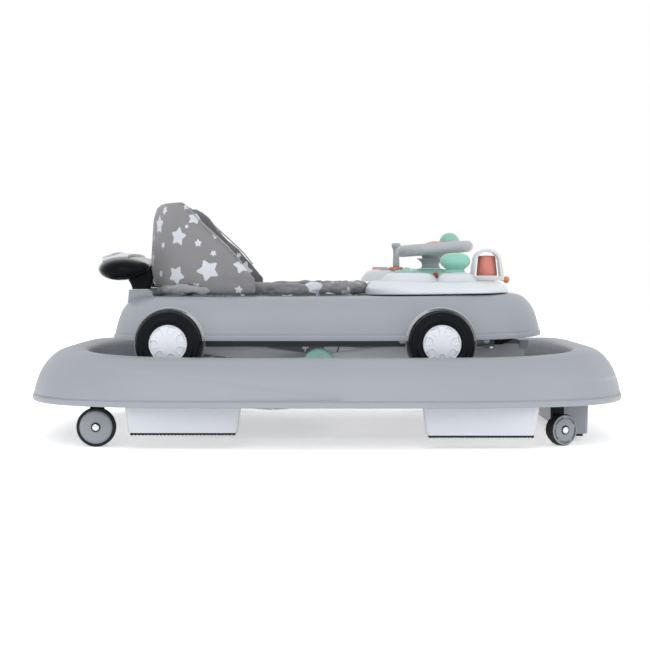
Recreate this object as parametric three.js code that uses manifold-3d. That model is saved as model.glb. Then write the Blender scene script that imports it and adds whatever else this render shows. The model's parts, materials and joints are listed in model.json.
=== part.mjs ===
// Baby walker with a car-shaped tray, folded flat on its castor base.
// Millimetres, +X forward, +Y to the child's left, +Z up; the floor is z = 0
// and the origin is under the middle of the base.

import * as THREE from "three";
import { mergeVertices } from "three/addons/utils/BufferGeometryUtils.js";
import Module from "manifold-3d";

const wasm = await Module();
wasm.setup();

// ---------- driving dimensions ----------

const GAP = 0.3;                 // clearance between pieces that touch

// base ring, a hollow moulding open underneath
const BASE_HALF_LENGTH = 354;
const BASE_HALF_WIDTH = 310;
const BASE_CORNER = 4;           // superellipse power of the plan outline
const OPENING_CORNER = 5.5;      // the opening is a little squarer
const RING_WIDTH_REAR = 71;
const RING_WIDTH_FRONT = 63;
const RING_WIDTH_SIDE = 52;
const LIP_Z = 47;
const CREST_Z = 101;
const INNER_WALL_Z = 56;
const END_RISE = 7;              // the crest stands higher at the two ends
const SHELL_WALL = 3;

// stopper blocks under the ring
const BLOCK_OUTER_Y = BASE_HALF_WIDTH - 27;
const BLOCK_THICKNESS = 28;
const BLOCK_TOP_Z = 54;
const BLOCK_TAPER = 4.5;
const BLOCK_WALL = 3.5;          // the blocks are hollow above their floors
const REAR_BLOCK = { x0: -226.6, x1: -95.4, z: 17.7 };
const FRONT_BLOCK = { x0: 106.3, x1: 237.9, z: 14.8 };
const CROSS_BLOCK = {
  x0: BASE_HALF_LENGTH - 77, x1: BASE_HALF_LENGTH - 48, halfWidth: 185, z: 8,
};
const PAD_THICKNESS = 2.6;
const PAD_INSET = 7;

// castors
const REAR_CASTOR = {
  x: 95.5 - BASE_HALF_LENGTH, y: BASE_HALF_WIDTH - 60, r: 22.2, rHub: 18.6, trail: 2, turn: 0,
};
const FRONT_CASTOR = {
  x: BASE_HALF_LENGTH - 86, y: BASE_HALF_WIDTH - 74, r: 18, rHub: 16.6, trail: 3, turn: 30,
};
const CASTOR_TYRE_WIDTH = 11;
const CASTOR_PLATE = 4.5;
const CASTOR_PIN_R = 3;
const CASTOR_STEM_R = 5;
const CASTOR_STEM_TOP = 70;
const CASTOR_BOSS_R = 11;
const CASTOR_BRIDGE_Z = 46;

const BODY_HALF_WIDTH = 225;     // the frames, rails and toy wheels follow the body's sides

// folding frames: two crossed arms on each side
const REAR_PIVOT_X = -205;
const LOW_PIVOT_Z = 66;
const HIGH_PIVOT_Z = 118;
const CROSS_X = -10;             // where the arms cross when folded
const ARM_THICKNESS = 5;
const ARM_DEPTH = 17;
const FRAME_A_Y = BODY_HALF_WIDTH - 42;   // middle plane of the outer arms
const FRAME_B_Y = FRAME_A_Y - 8;          // middle plane of the inner arms
const TUBE_R = 6;
const PIN_R = 4;
const PIN_CLEARANCE = 0.35;
const PIVOT_CAP_R = 17;
const PIVOT_PIN_R = 5;
const FOLD_TRAVEL_DEG = 34;

// rails that the arm ends pivot and slide in
const RAIL_Y = FRAME_A_Y + 10;
const RAIL_THICKNESS = 10;
const RAIL_DEPTH = 15;
const RAIL_WEB = 5;

// car body, a hollow shell with a seat opening
const BODY_CENTRE_X = 2;
const BODY_HALF_LENGTH = 258;
const REAR_CORNER = 6;           // the body's front corners are rounder than its rear ones
const FRONT_CORNER = 4.4;
const BODY_BOTTOM_Z = 118;
const BODY_TOP_Z = 167.8;
const HOOD_RISE = 3.5;           // the deck climbs to the nose from HOOD_START_X
const HOOD_START_X = 40;
const NOSE_LIFT = 4;             // the lower edge climbs at the nose too
const SEAT_X = -65;
const SEAT_OPENING_X = 106;      // half sizes of the seat opening
const SEAT_OPENING_Y = 130;

// toy road wheels
const WHEEL_X = [-181, 131];
const WHEEL_Z = 115;
const WHEEL_R = 37.8;
const WHEEL_HUB_R = 22;
const WHEEL_INNER_Y = BODY_HALF_WIDTH - 14;
const WHEEL_OUTER_Y = BODY_HALF_WIDTH + 15;
const ARCH_CLEARANCE = 2.2;
const ARCH_R = WHEEL_R + ARCH_CLEARANCE;
const WHEEL_STUB_R = 6;

// push handle
const HANDLE_X = -238;
const HANDLE_Z = 198;
const HANDLE_HALF_WIDTH = 150;
const HANDLE_HALF_CHORD = 31;
const HANDLE_HALF_DEPTH = 14;
const HANDLE_ARCH = 6;
const HANDLE_BOW = 14;           // the wing's middle stands further back than its ends
const PANEL_HALF_WIDTH = 104;
const STEM_Y = 118;
const SOCKET_TOP_Z = 176;

// seat
const RIM_RADIUS = 8;
const RIM_OVERLAP = 5;           // the rim reaches over the edge of the opening
const BACK_HALF_WIDTH = 155;
const BACK_REAR_X = -216;
const BACK_FRONT_X = -84;
const BACK_THICKNESS = 12.5;
const BACK_TOP_Z = 284;
const BACK_FRONT_Z = 186;
const BACK_CORNER = 3;
const SLING_BOTTOM_Z = 24;
const SLING_WALL = 4;
const LEG_HOLE_Y = 40;
const LEG_HOLE_Z = 92;
const LEG_HOLE_R = 30;

// toy tray
const TRAY_X0 = 46;
const TRAY_X1 = 222;
const TRAY_INSET = 36;           // deck left bare outside the tray on each side
const TRAY_HALF_WIDTH = BODY_HALF_WIDTH - TRAY_INSET;
const TRAY_BASE_Z = BODY_TOP_Z + 1.6;
const TRAY_TOP_Z = 186;
const TRAY_WALL = 3;
const TRAY_CORNER = 3.4;
const BUMP_TOP_Z = 196;
const FAR_MOUND = { x: 86, y: 96, a: 38, b: 44, top: 200.5 };
const MOUND_TOP_Z = 201;
const STEERING_X = 136;
const STEERING_Z = 226;
const STEERING_R = 41.5;
const STEERING_TUBE_R = 7.3;
const STEERING_TILT_DEG = 4.4;
const HORN_R = 15.8;
const HORN_TRAVEL = 3;

// ---------- materials ----------

const material = (color, roughness, metalness = 0) =>
  new THREE.MeshStandardMaterial({ color, roughness, metalness });
const GREY = material(0xa5a8af, 0.5);
const DARK_GREY = material(0x6f7176, 0.55);
const WHITE = material(0xe3e5ea, 0.4);
const BLACK_GLOSS = material(0x101112, 0.15);
const BLACK_RUBBER = material(0x1a1a1b, 0.8);
const FABRIC = material(0x8e8e90, 0.95);
const DARK_FABRIC = material(0x4a4b4d, 0.95);
const MINT = material(0x8cccb4, 0.45);
const CORAL = material(0xde8b78, 0.45);
const ORANGE = material(0xc77b45, 0.45);
const RED = material(0x8e1616, 0.4);

// ---------- solids ----------

function solid(geometry) {
  const bare = geometry.index ? geometry.toNonIndexed() : geometry.clone();
  bare.deleteAttribute("normal");
  bare.deleteAttribute("uv");
  const merged = mergeVertices(bare, 1e-4);
  const corners = Array.from(merged.index.array);
  const build = (order) => new wasm.Manifold(new wasm.Mesh({
    numProp: 3,
    vertProperties: Float32Array.from(merged.attributes.position.array),
    triVerts: Uint32Array.from(order),
  }));
  const made = build(corners);
  return made.volume() > 0 ? made : build(corners.reverse());
}

function geometryOf(manifold) {
  const mesh = manifold.getMesh();
  const geometry = new THREE.BufferGeometry();
  const points = new Float32Array(mesh.numVert * 3);
  for (let i = 0; i < mesh.numVert; i += 1) {
    points.set(mesh.vertProperties.slice(i * mesh.numProp, i * mesh.numProp + 3), i * 3);
  }
  geometry.setAttribute("position", new THREE.BufferAttribute(points, 3));
  geometry.setIndex(new THREE.BufferAttribute(Uint32Array.from(mesh.triVerts), 1));
  geometry.computeVertexNormals();
  return geometry;
}

// A box between two corners.
function block(x0, x1, y0, y1, z0, z1) {
  const geometry = new THREE.BoxGeometry(x1 - x0, y1 - y0, z1 - z0);
  geometry.translate((x0 + x1) / 2, (y0 + y1) / 2, (z0 + z1) / 2);
  return solid(geometry);
}

// A cone or cylinder along Z.
function upright(x, y, z0, z1, rBottom, rTop = rBottom, segments = 20) {
  const geometry = new THREE.CylinderGeometry(rTop, rBottom, z1 - z0, segments);
  geometry.rotateX(Math.PI / 2);
  geometry.translate(x, y, (z0 + z1) / 2);
  return solid(geometry);
}

// A cylinder along Y between two Y values, in either order.
function crosswise(x, z, yA, yB, r, segments = 24) {
  const geometry = new THREE.CylinderGeometry(r, r, Math.abs(yB - yA), segments);
  geometry.translate(x, (yA + yB) / 2, z);
  return solid(geometry);
}

// A solid turned about Z from a profile of [radius, height] points.
function turned(profile, segments = 28) {
  const points = profile.map(([r, z]) => new THREE.Vector2(r, z));
  const geometry = new THREE.LatheGeometry(points, segments);
  geometry.rotateX(Math.PI / 2);
  return solid(geometry);
}

// Rings of equally many [x, y, z] points: a tube that closes on itself, or a
// stack whose first and last rings are capped.
function loft(rings, closed) {
  const count = rings[0].length;
  const positions = rings.flat(2);
  const index = [];
  const last = closed ? rings.length : rings.length - 1;
  for (let i = 0; i < last; i += 1) {
    const a = i * count;
    const b = ((i + 1) % rings.length) * count;
    for (let j = 0; j < count; j += 1) {
      const k = (j + 1) % count;
      index.push(a + j, a + k, b + k, a + j, b + k, b + j);
    }
  }
  if (!closed) {
    const end = (rings.length - 1) * count;
    const middle = (ring) => [0, 1, 2].map((c) =>
      ring.reduce((sum, point) => sum + point[c], 0) / count);
    positions.push(...middle(rings[0]), ...middle(rings[rings.length - 1]));
    const capA = rings.length * count;
    for (let j = 0; j < count; j += 1) {
      const k = (j + 1) % count;
      index.push(capA, k, j);
      index.push(capA + 1, end + j, end + k);
    }
  }
  const geometry = new THREE.BufferGeometry();
  geometry.setAttribute("position", new THREE.Float32BufferAttribute(positions, 3));
  geometry.setIndex(index);
  return solid(geometry);
}

const lerp = THREE.MathUtils.lerp;
const radians = THREE.MathUtils.degToRad;

// A point on a superellipse at angle t, with half sizes a and b.
function superellipse(t, a, b, power) {
  const c = Math.cos(t);
  const s = Math.sin(t);
  const e = 2 / power;
  return [a * Math.sign(c) * Math.abs(c) ** e, b * Math.sign(s) * Math.abs(s) ** e];
}

// Angles that spread points evenly round a superellipse.
function evenAngles(count, a, b, power) {
  const fine = 720;
  const lengths = [0];
  let previous = superellipse(0, a, b, power);
  for (let i = 1; i <= fine; i += 1) {
    const point = superellipse((i / fine) * 2 * Math.PI, a, b, power);
    lengths.push(lengths[i - 1] + Math.hypot(point[0] - previous[0], point[1] - previous[1]));
    previous = point;
  }
  const angles = [];
  let i = 0;
  for (let n = 0; n < count; n += 1) {
    const wanted = (n / count) * lengths[fine];
    while (lengths[i + 1] < wanted) {
      i += 1;
    }
    const share = (wanted - lengths[i]) / (lengths[i + 1] - lengths[i]);
    angles.push(((i + share) / fine) * 2 * Math.PI);
  }
  return angles;
}

const walker = new THREE.Group();

function add(name, manifold, look) {
  const mesh = new THREE.Mesh(geometryOf(manifold), look);
  mesh.name = name;
  walker.add(mesh);
}

const SIDES = [["right", -1], ["left", 1]];

// ---------- base ring ----------

const OPENING_CENTRE_X = (RING_WIDTH_REAR - RING_WIDTH_FRONT) / 2;
const OPENING_HALF_LENGTH = BASE_HALF_LENGTH - (RING_WIDTH_REAR + RING_WIDTH_FRONT) / 2;
const OPENING_HALF_WIDTH = BASE_HALF_WIDTH - RING_WIDTH_SIDE;
const BASE_ANGLES = evenAngles(44, BASE_HALF_LENGTH, BASE_HALF_WIDTH, BASE_CORNER);

// The space inside the ring, less a small gap, for trimming what ends at its wall.
function openingPlug() {
  const level = (z) => BASE_ANGLES.map((t) => {
    const [x, y] = superellipse(t, OPENING_HALF_LENGTH - GAP, OPENING_HALF_WIDTH - GAP,
      OPENING_CORNER);
    return [x + OPENING_CENTRE_X, y, z];
  });
  return loft([level(0), level(CREST_Z)], false);
}

// Sweeps a profile of [share of ring width, height] points round the base.
function baseSweep(profile) {
  const rings = BASE_ANGLES.map((t) => {
    const outer = superellipse(t, BASE_HALF_LENGTH, BASE_HALF_WIDTH, BASE_CORNER);
    const inner = superellipse(t, OPENING_HALF_LENGTH, OPENING_HALF_WIDTH, OPENING_CORNER);
    inner[0] += OPENING_CENTRE_X;
    const rise = END_RISE * (Math.abs(outer[0]) / BASE_HALF_LENGTH) ** 4;
    return profile.map(([u, z]) => [
      lerp(outer[0], inner[0], u),
      lerp(outer[1], inner[1], u),
      z + (rise * Math.max(0, z - INNER_WALL_Z)) / (CREST_Z - INNER_WALL_Z),
    ]);
  });
  return loft(rings, true);
}

function baseShell() {
  const wall = SHELL_WALL / RING_WIDTH_SIDE;
  const height = CREST_Z - LIP_Z;
  const outside = [
    [0.03, LIP_Z], [0, LIP_Z + 3], [0, LIP_Z + 7], [0.04, LIP_Z + 9.5],
    [0.13, LIP_Z + height * 0.5], [0.27, LIP_Z + height * 0.77], [0.45, LIP_Z + height * 0.94],
    [0.68, CREST_Z], [0.9, CREST_Z - 0.5], [1, CREST_Z - 4], [1, INNER_WALL_Z],
  ];
  const inside = [
    [1 - wall, INNER_WALL_Z - 20], [1 - wall, CREST_Z - 6], [0.87, CREST_Z - 3.5],
    [0.69, CREST_Z - 3], [0.48, LIP_Z + height * 0.94 - 3.2],
    [0.32, LIP_Z + height * 0.77 - 4], [0.2, LIP_Z + height * 0.5 - 2],
    [0.03 + wall, LIP_Z + 6], [0.03 + wall, LIP_Z - 20],
  ];
  const full = baseSweep([...outside, [1 - wall, INNER_WALL_Z], [1 - wall, LIP_Z],
    [0.03 + wall, LIP_Z]]);
  const hollow = baseSweep(inside);
  return full.subtract(hollow.subtract(baseBosses())).subtract(stemHoles());
}

// Columns that come down inside the ring to carry the castors and the blocks.
function baseBosses() {
  let bosses = block(CROSS_BLOCK.x0 + 6, CROSS_BLOCK.x1 - 6, -60, 60, BLOCK_TOP_Z + GAP, 120);
  for (const [, side] of SIDES) {
    for (const castor of [REAR_CASTOR, FRONT_CASTOR]) {
      const bottom = CASTOR_BRIDGE_Z + CASTOR_PLATE + GAP;
      bosses = bosses.add(upright(castor.x, side * castor.y, bottom, 120, CASTOR_BOSS_R,
        CASTOR_BOSS_R, 14));
    }
    for (const part of [REAR_BLOCK, FRONT_BLOCK]) {
      const middle = (part.x0 + part.x1) / 2;
      const y = side * (BLOCK_OUTER_Y - BLOCK_THICKNESS / 2);
      bosses = bosses.add(block(middle - 35, middle + 35, y - 7, y + 7, BLOCK_TOP_Z + GAP, 120));
    }
  }
  return bosses;
}

function stemHoles() {
  const holes = [];
  for (const [, side] of SIDES) {
    for (const castor of [REAR_CASTOR, FRONT_CASTOR]) {
      holes.push(upright(castor.x, side * castor.y, LIP_Z, CASTOR_STEM_TOP + 1,
        CASTOR_STEM_R + PIN_CLEARANCE, CASTOR_STEM_R + PIN_CLEARANCE, 14));
    }
  }
  return wasm.Manifold.union(holes);
}

// ---------- stopper blocks ----------

function tapered(x0, x1, y0, y1, z0, z1, taper) {
  const outline = new THREE.Shape([
    new THREE.Vector2(x0, z1), new THREE.Vector2(x0 + taper, z0),
    new THREE.Vector2(x1 - taper, z0), new THREE.Vector2(x1, z1),
  ]);
  const geometry = new THREE.ExtrudeGeometry(outline, { depth: y1 - y0, bevelEnabled: false });
  geometry.rotateX(Math.PI / 2);
  geometry.translate(0, y1, 0);
  return solid(geometry);
}

function addBlocks() {
  for (const [name, side] of SIDES) {
    for (const [end, part] of [["rear", REAR_BLOCK], ["front", FRONT_BLOCK]]) {
      const ys = [side * BLOCK_OUTER_Y, side * (BLOCK_OUTER_Y - BLOCK_THICKNESS)];
      const y0 = Math.min(...ys);
      const y1 = Math.max(...ys);
      add(`stopper_${end}_${name}`,
        tapered(part.x0, part.x1, y0, y1, part.z, BLOCK_TOP_Z, BLOCK_TAPER)
          .subtract(block(part.x0 + BLOCK_TAPER + BLOCK_WALL, part.x1 - BLOCK_TAPER - BLOCK_WALL,
            y0 + BLOCK_WALL, y1 - BLOCK_WALL, part.z + BLOCK_WALL, BLOCK_TOP_Z + 1)), WHITE);
      add(`stopper_pad_${end}_${name}`,
        block(part.x0 + PAD_INSET, part.x1 - PAD_INSET, y0 + 3, y1 - 3,
          part.z - GAP - PAD_THICKNESS, part.z - GAP), BLACK_RUBBER);
    }
  }
  const cross = CROSS_BLOCK;
  add("stopper_cross", block(cross.x0, cross.x1, -cross.halfWidth, cross.halfWidth,
    cross.z, BLOCK_TOP_Z).subtract(block(cross.x0 + BLOCK_WALL, cross.x1 - BLOCK_WALL,
    BLOCK_WALL - cross.halfWidth, cross.halfWidth - BLOCK_WALL, cross.z + BLOCK_WALL,
    BLOCK_TOP_Z + 1)), GREY);
  add("stopper_pad_cross", block(cross.x0 + PAD_INSET, cross.x1 - PAD_INSET,
    -cross.halfWidth + 3, cross.halfWidth - 3, cross.z - GAP - PAD_THICKNESS, cross.z - GAP),
  BLACK_RUBBER);
}

// ---------- castors ----------

// Built with the wheel axle along Y and the wheel's outer face towards -Y.
function castorPieces(castor) {
  const wheelX = -castor.trail;
  const wheelZ = castor.r;
  const outerY = -(CASTOR_TYRE_WIDTH + CASTOR_PLATE) / 2 - 1;
  const innerY = outerY + CASTOR_TYRE_WIDTH;
  const plateY = innerY + 1;
  const plateR = castor.r - 3;
  const bridgeR = 12.5;
  const fork = wasm.Manifold.union([
    crosswise(wheelX, wheelZ, plateY, plateY + CASTOR_PLATE, plateR, 16),
    block(wheelX - 8, wheelX + 8, plateY, plateY + CASTOR_PLATE, wheelZ, CASTOR_BRIDGE_Z + 2),
    upright(0, 0, CASTOR_BRIDGE_Z, CASTOR_BRIDGE_Z + CASTOR_PLATE, bridgeR, bridgeR, 12),
    upright(0, 0, CASTOR_BRIDGE_Z, CASTOR_STEM_TOP, CASTOR_STEM_R, CASTOR_STEM_R, 10),
    crosswise(wheelX, wheelZ, plateY + 1, outerY + 4, CASTOR_PIN_R, 12),
  ]);
  const tyre = crosswise(wheelX, wheelZ, outerY, innerY, castor.r, 24)
    .subtract(crosswise(wheelX, wheelZ, outerY - 1, innerY + 1, castor.rHub + GAP, 24));
  const hub = crosswise(wheelX, wheelZ, outerY - 0.6, innerY - 0.4, castor.rHub, 24)
    .add(crosswise(wheelX, wheelZ, outerY - 2.2, outerY, 4.6, 10))
    .subtract(crosswise(wheelX, wheelZ, outerY + 3.4, innerY + 1,
      CASTOR_PIN_R + PIN_CLEARANCE, 12));
  return { fork, tyre, hub };
}

function addCastors() {
  for (const [end, castor] of [["rear", REAR_CASTOR], ["front", FRONT_CASTOR]]) {
    const pieces = castorPieces(castor);
    for (const [name, side] of SIDES) {
      const place = (piece) => {
        const turned180 = side > 0 ? piece.rotate([0, 0, castor.turn]).mirror([0, 1, 0])
          : piece.rotate([0, 0, castor.turn]);
        return turned180.translate([castor.x, side * castor.y, 0]);
      };
      add(`castor_fork_${end}_${name}`, place(pieces.fork), BLACK_RUBBER);
      add(`castor_tyre_${end}_${name}`, place(pieces.tyre), BLACK_RUBBER);
      add(`castor_hub_${end}_${name}`, place(pieces.hub), DARK_GREY);
    }
  }
}

// ---------- folding frames ----------

const FRONT_PIVOT_X = 2 * CROSS_X - REAR_PIVOT_X;
const CROSS_Z = (LOW_PIVOT_Z + HIGH_PIVOT_Z) / 2;
const HALF_ARM = Math.hypot(CROSS_X - REAR_PIVOT_X, CROSS_Z - LOW_PIVOT_Z);
const REST_ANGLE = Math.atan2(CROSS_Z - LOW_PIVOT_Z, CROSS_X - REAR_PIVOT_X);
const OPEN_ANGLE = REST_ANGLE + radians(FOLD_TRAVEL_DEG);
const SLIDE_REAR_X = REAR_PIVOT_X + 2 * HALF_ARM * Math.cos(OPEN_ANGLE);

// A flat bar with round ends, from (x0, z0) to (x1, z1), centred on the plane y.
function flatBar(x0, z0, x1, z1, y) {
  const length = Math.hypot(x1 - x0, z1 - z0);
  const r = ARM_DEPTH / 2;
  const outline = new THREE.Shape();
  outline.absarc(0, 0, r, Math.PI / 2, 1.5 * Math.PI);
  outline.absarc(length, 0, r, -Math.PI / 2, Math.PI / 2);
  const geometry = new THREE.ExtrudeGeometry(outline,
    { depth: ARM_THICKNESS, bevelEnabled: false, curveSegments: 4 });
  geometry.rotateX(Math.PI / 2);
  geometry.rotateY(-Math.atan2(z1 - z0, x1 - x0));
  geometry.translate(x0, y + ARM_THICKNESS / 2, z0);
  return solid(geometry);
}

// Outer frame: rear ends low, front ends high.
function frameA() {
  const parts = [crosswise(REAR_PIVOT_X, LOW_PIVOT_Z, -FRAME_A_Y, FRAME_A_Y, TUBE_R, 12)];
  const cuts = [];
  for (const [, side] of SIDES) {
    const y = side * FRAME_A_Y;
    const pinEnd = side * (RAIL_Y + RAIL_THICKNESS / 2 - 1);
    parts.push(flatBar(REAR_PIVOT_X, LOW_PIVOT_Z, FRONT_PIVOT_X, HIGH_PIVOT_Z, y));
    parts.push(crosswise(REAR_PIVOT_X, LOW_PIVOT_Z, y, pinEnd, PIN_R, 12));
    parts.push(crosswise(FRONT_PIVOT_X, HIGH_PIVOT_Z, y, pinEnd, PIN_R, 12));
    cuts.push(crosswise(CROSS_X, CROSS_Z, y - side * 4, y + side * 4,
      PIVOT_PIN_R + PIN_CLEARANCE, 12));
  }
  return wasm.Manifold.union(parts).subtract(wasm.Manifold.union(cuts));
}

// Inner frame: rear ends high, front ends low.
function frameB() {
  const parts = [crosswise(REAR_PIVOT_X, HIGH_PIVOT_Z, -FRAME_B_Y, FRAME_B_Y, TUBE_R, 12)];
  const cuts = [];
  for (const [, side] of SIDES) {
    const y = side * FRAME_B_Y;
    const pinEnd = side * (RAIL_Y + RAIL_THICKNESS / 2 - 1);
    parts.push(flatBar(REAR_PIVOT_X, HIGH_PIVOT_Z, FRONT_PIVOT_X, LOW_PIVOT_Z, y));
    parts.push(crosswise(REAR_PIVOT_X, HIGH_PIVOT_Z, y, pinEnd, PIN_R, 12));
    parts.push(crosswise(FRONT_PIVOT_X, LOW_PIVOT_Z, y, pinEnd, PIN_R, 12));
    cuts.push(crosswise(CROSS_X, CROSS_Z, y - side * 4, y + side * 4,
      PIVOT_PIN_R + PIN_CLEARANCE, 12));
  }
  return wasm.Manifold.union(parts).subtract(wasm.Manifold.union(cuts));
}

// Round cap outside each crossing, with the pin that both arms turn on.
function pivotCap(side) {
  const inner = side * (FRAME_A_Y + ARM_THICKNESS / 2 + GAP);
  const outer = inner + side * 6;
  const pinEnd = side * (FRAME_B_Y - ARM_THICKNESS / 2);
  return wasm.Manifold.union([
    crosswise(CROSS_X, CROSS_Z, inner, outer, PIVOT_CAP_R, 20),
    crosswise(CROSS_X, CROSS_Z, inner + side, pinEnd, PIVOT_PIN_R, 12),
  ]);
}

// A rail with a round pivot hole at the rear and a straight slot for the
// sliding pins at the front; the low rails stand in the base, the high ones
// hang under the car body from a web.
function rail(side, z, x0, x1) {
  const y0 = side * RAIL_Y - RAIL_THICKNESS / 2;
  const y1 = side * RAIL_Y + RAIL_THICKNESS / 2;
  const r = PIN_R + PIN_CLEARANCE;
  const slotRear = SLIDE_REAR_X - 2;
  const slotFront = FRONT_PIVOT_X + 1;
  const cuts = wasm.Manifold.union([
    crosswise(REAR_PIVOT_X, z, y0 - 1, y1 + 1, r, 14),
    crosswise(slotRear, z, y0 - 1, y1 + 1, r, 14),
    crosswise(slotFront, z, y0 - 1, y1 + 1, r, 14),
    block(slotRear, slotFront, y0 - 1, y1 + 1, z - r, z + r),
  ]);
  const beam = block(x0, x1, y0, y1, z - RAIL_DEPTH / 2, z + RAIL_DEPTH / 2);
  return { beam, cuts };
}

function baseRail(side) {
  const { beam, cuts } = rail(side, LOW_PIVOT_Z, -BASE_HALF_LENGTH, BASE_HALF_LENGTH);
  return beam.subtract(cuts).intersect(openingPlug());
}

function trayRail(side) {
  const { beam, cuts } = rail(side, HIGH_PIVOT_Z, REAR_PIVOT_X - 7.5, FRONT_PIVOT_X + 9);
  const y = side * RAIL_Y;
  const web = block(REAR_PIVOT_X + 30, FRONT_PIVOT_X - 30, y - RAIL_WEB / 2, y + RAIL_WEB / 2,
    HIGH_PIVOT_Z + RAIL_DEPTH / 2 - 1, BODY_TOP_Z);
  return beam.add(underDeck(web)).subtract(cuts);
}

// ---------- car body ----------

const BODY_ANGLES = evenAngles(38, BODY_HALF_LENGTH, BODY_HALF_WIDTH, REAR_CORNER);

// How far the deck has climbed above its rear level at x.
function deckRise(x) {
  const nose = BODY_CENTRE_X + BODY_HALF_LENGTH;
  return HOOD_RISE * Math.max(0, (x - HOOD_START_X) / (nose - HOOD_START_X));
}

// Stacks plan outlines of [inset, height]; both edges climb towards the nose.
function bodyStack(levels) {
  return loft(levels.map(([inset, z]) => BODY_ANGLES.map((t) => {
    const corner = Math.cos(t) > 0 ? FRONT_CORNER : REAR_CORNER;
    const [dx, y] = superellipse(t, BODY_HALF_LENGTH - inset, BODY_HALF_WIDTH - inset, corner);
    const x = dx + BODY_CENTRE_X;
    const share = (z - BODY_BOTTOM_Z) / (BODY_TOP_Z - BODY_BOTTOM_Z);
    const lift = NOSE_LIFT * Math.max(0, dx / BODY_HALF_LENGTH) ** 4;
    return [x, y, z + lerp(lift, deckRise(x), THREE.MathUtils.clamp(share, 0, 1))];
  })), false);
}

function bodyOutside() {
  const height = BODY_TOP_Z - BODY_BOTTOM_Z;
  return bodyStack([
    [0, BODY_BOTTOM_Z], [0, BODY_BOTTOM_Z + 5], [2, BODY_BOTTOM_Z + 6.5],
    [5.5, BODY_BOTTOM_Z + height * 0.45], [13, BODY_BOTTOM_Z + height * 0.75],
    [21, BODY_BOTTOM_Z + height * 0.92], [30, BODY_TOP_Z],
  ]);
}

function bodyInside() {
  const height = BODY_TOP_Z - BODY_BOTTOM_Z;
  return bodyStack([
    [4, BODY_BOTTOM_Z - 2], [5, BODY_BOTTOM_Z + 6.5],
    [8.5, BODY_BOTTOM_Z + height * 0.45], [16.5, BODY_BOTTOM_Z + height * 0.72],
    [26, BODY_BOTTOM_Z + height * 0.88], [34, BODY_TOP_Z - SHELL_WALL],
  ]);
}

// Trims a piece that hangs inside the body to just under its deck.
function underDeck(piece) {
  return piece.intersect(bodyInside().translate([0, 0, -2 * GAP]));
}

// A straight-sided oval plug through the seat opening.
function seatPlug(a, b, z0, z1, segments = 40) {
  const ring = (z) => Array.from({ length: segments }, (_, i) => {
    const [x, y] = superellipse((i / segments) * 2 * Math.PI, a, b, 2.3);
    return [x + SEAT_X, y, z];
  });
  return loft([ring(z0), ring(z1)], false);
}

function bodyShell() {
  const outside = bodyOutside();
  const wells = [];
  const hollows = [];
  const stubs = [];
  for (const [, side] of SIDES) {
    const back = side * (WHEEL_INNER_Y - 4);
    for (const x of WHEEL_X) {
      wells.push(crosswise(x, WHEEL_Z, back - side * 3, side * 260, ARCH_R + 3, 24));
      hollows.push(crosswise(x, WHEEL_Z, back, side * 260, ARCH_R, 24));
      stubs.push(crosswise(x, WHEEL_Z, back - side * 3, back + side * 0.5, 22, 16));
      stubs.push(crosswise(x, WHEEL_Z, back - side, side * (WHEEL_OUTER_Y - 8),
        WHEEL_STUB_R, 12));
    }
  }
  const inside = bodyInside().subtract(wasm.Manifold.union(wells));
  let shell = outside.subtract(inside).subtract(wasm.Manifold.union(hollows));
  shell = shell.subtract(seatPlug(SEAT_OPENING_X, SEAT_OPENING_Y, 100, 200));
  return shell.add(wasm.Manifold.union(stubs)).add(handleSockets());
}

// Blocks on the rear deck that take the handle's stems.
function handleSockets() {
  const sockets = [];
  for (const [, side] of SIDES) {
    const y = side * STEM_Y;
    sockets.push(block(-236, -211, y - 14, y + 14, BODY_TOP_Z - 12, SOCKET_TOP_Z));
  }
  return wasm.Manifold.union(sockets);
}

// ---------- toy road wheels ----------

function roadTyre(side) {
  const half = (WHEEL_OUTER_Y - WHEEL_INNER_Y) / 2;
  const bore = WHEEL_HUB_R + GAP;
  const profile = [
    [bore, -half], [WHEEL_R - 4, -half], [WHEEL_R, -half + 4], [WHEEL_R, half - 5],
    [WHEEL_R - 4, half], [bore, half - 3], [bore, -half],
  ];
  return turned(profile, 24).rotate([side * -90, 0, 0]);
}

function roadHubcap(side) {
  const half = (WHEEL_OUTER_Y - WHEEL_INNER_Y) / 2;
  const bore = WHEEL_STUB_R + PIN_CLEARANCE;
  const profile = [
    [0, half - 5], [bore, half - 5], [bore, -half + 1], [WHEEL_HUB_R, -half + 1],
    [WHEEL_HUB_R, half - 3], [WHEEL_HUB_R - 3, half - 1], [0, half],
  ];
  return turned(profile, 18).rotate([side * -90, 0, 0]);
}

function addRoadWheels() {
  const middle = (WHEEL_OUTER_Y + WHEEL_INNER_Y) / 2;
  for (const [name, side] of SIDES) {
    for (const [end, x] of [["rear", WHEEL_X[0]], ["front", WHEEL_X[1]]]) {
      const place = [x, side * middle, WHEEL_Z];
      add(`road_tyre_${end}_${name}`, roadTyre(side).translate(place), BLACK_GLOSS);
      add(`road_hubcap_${end}_${name}`, roadHubcap(side).translate(place), WHITE);
    }
  }
}

// ---------- push handle ----------

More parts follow.
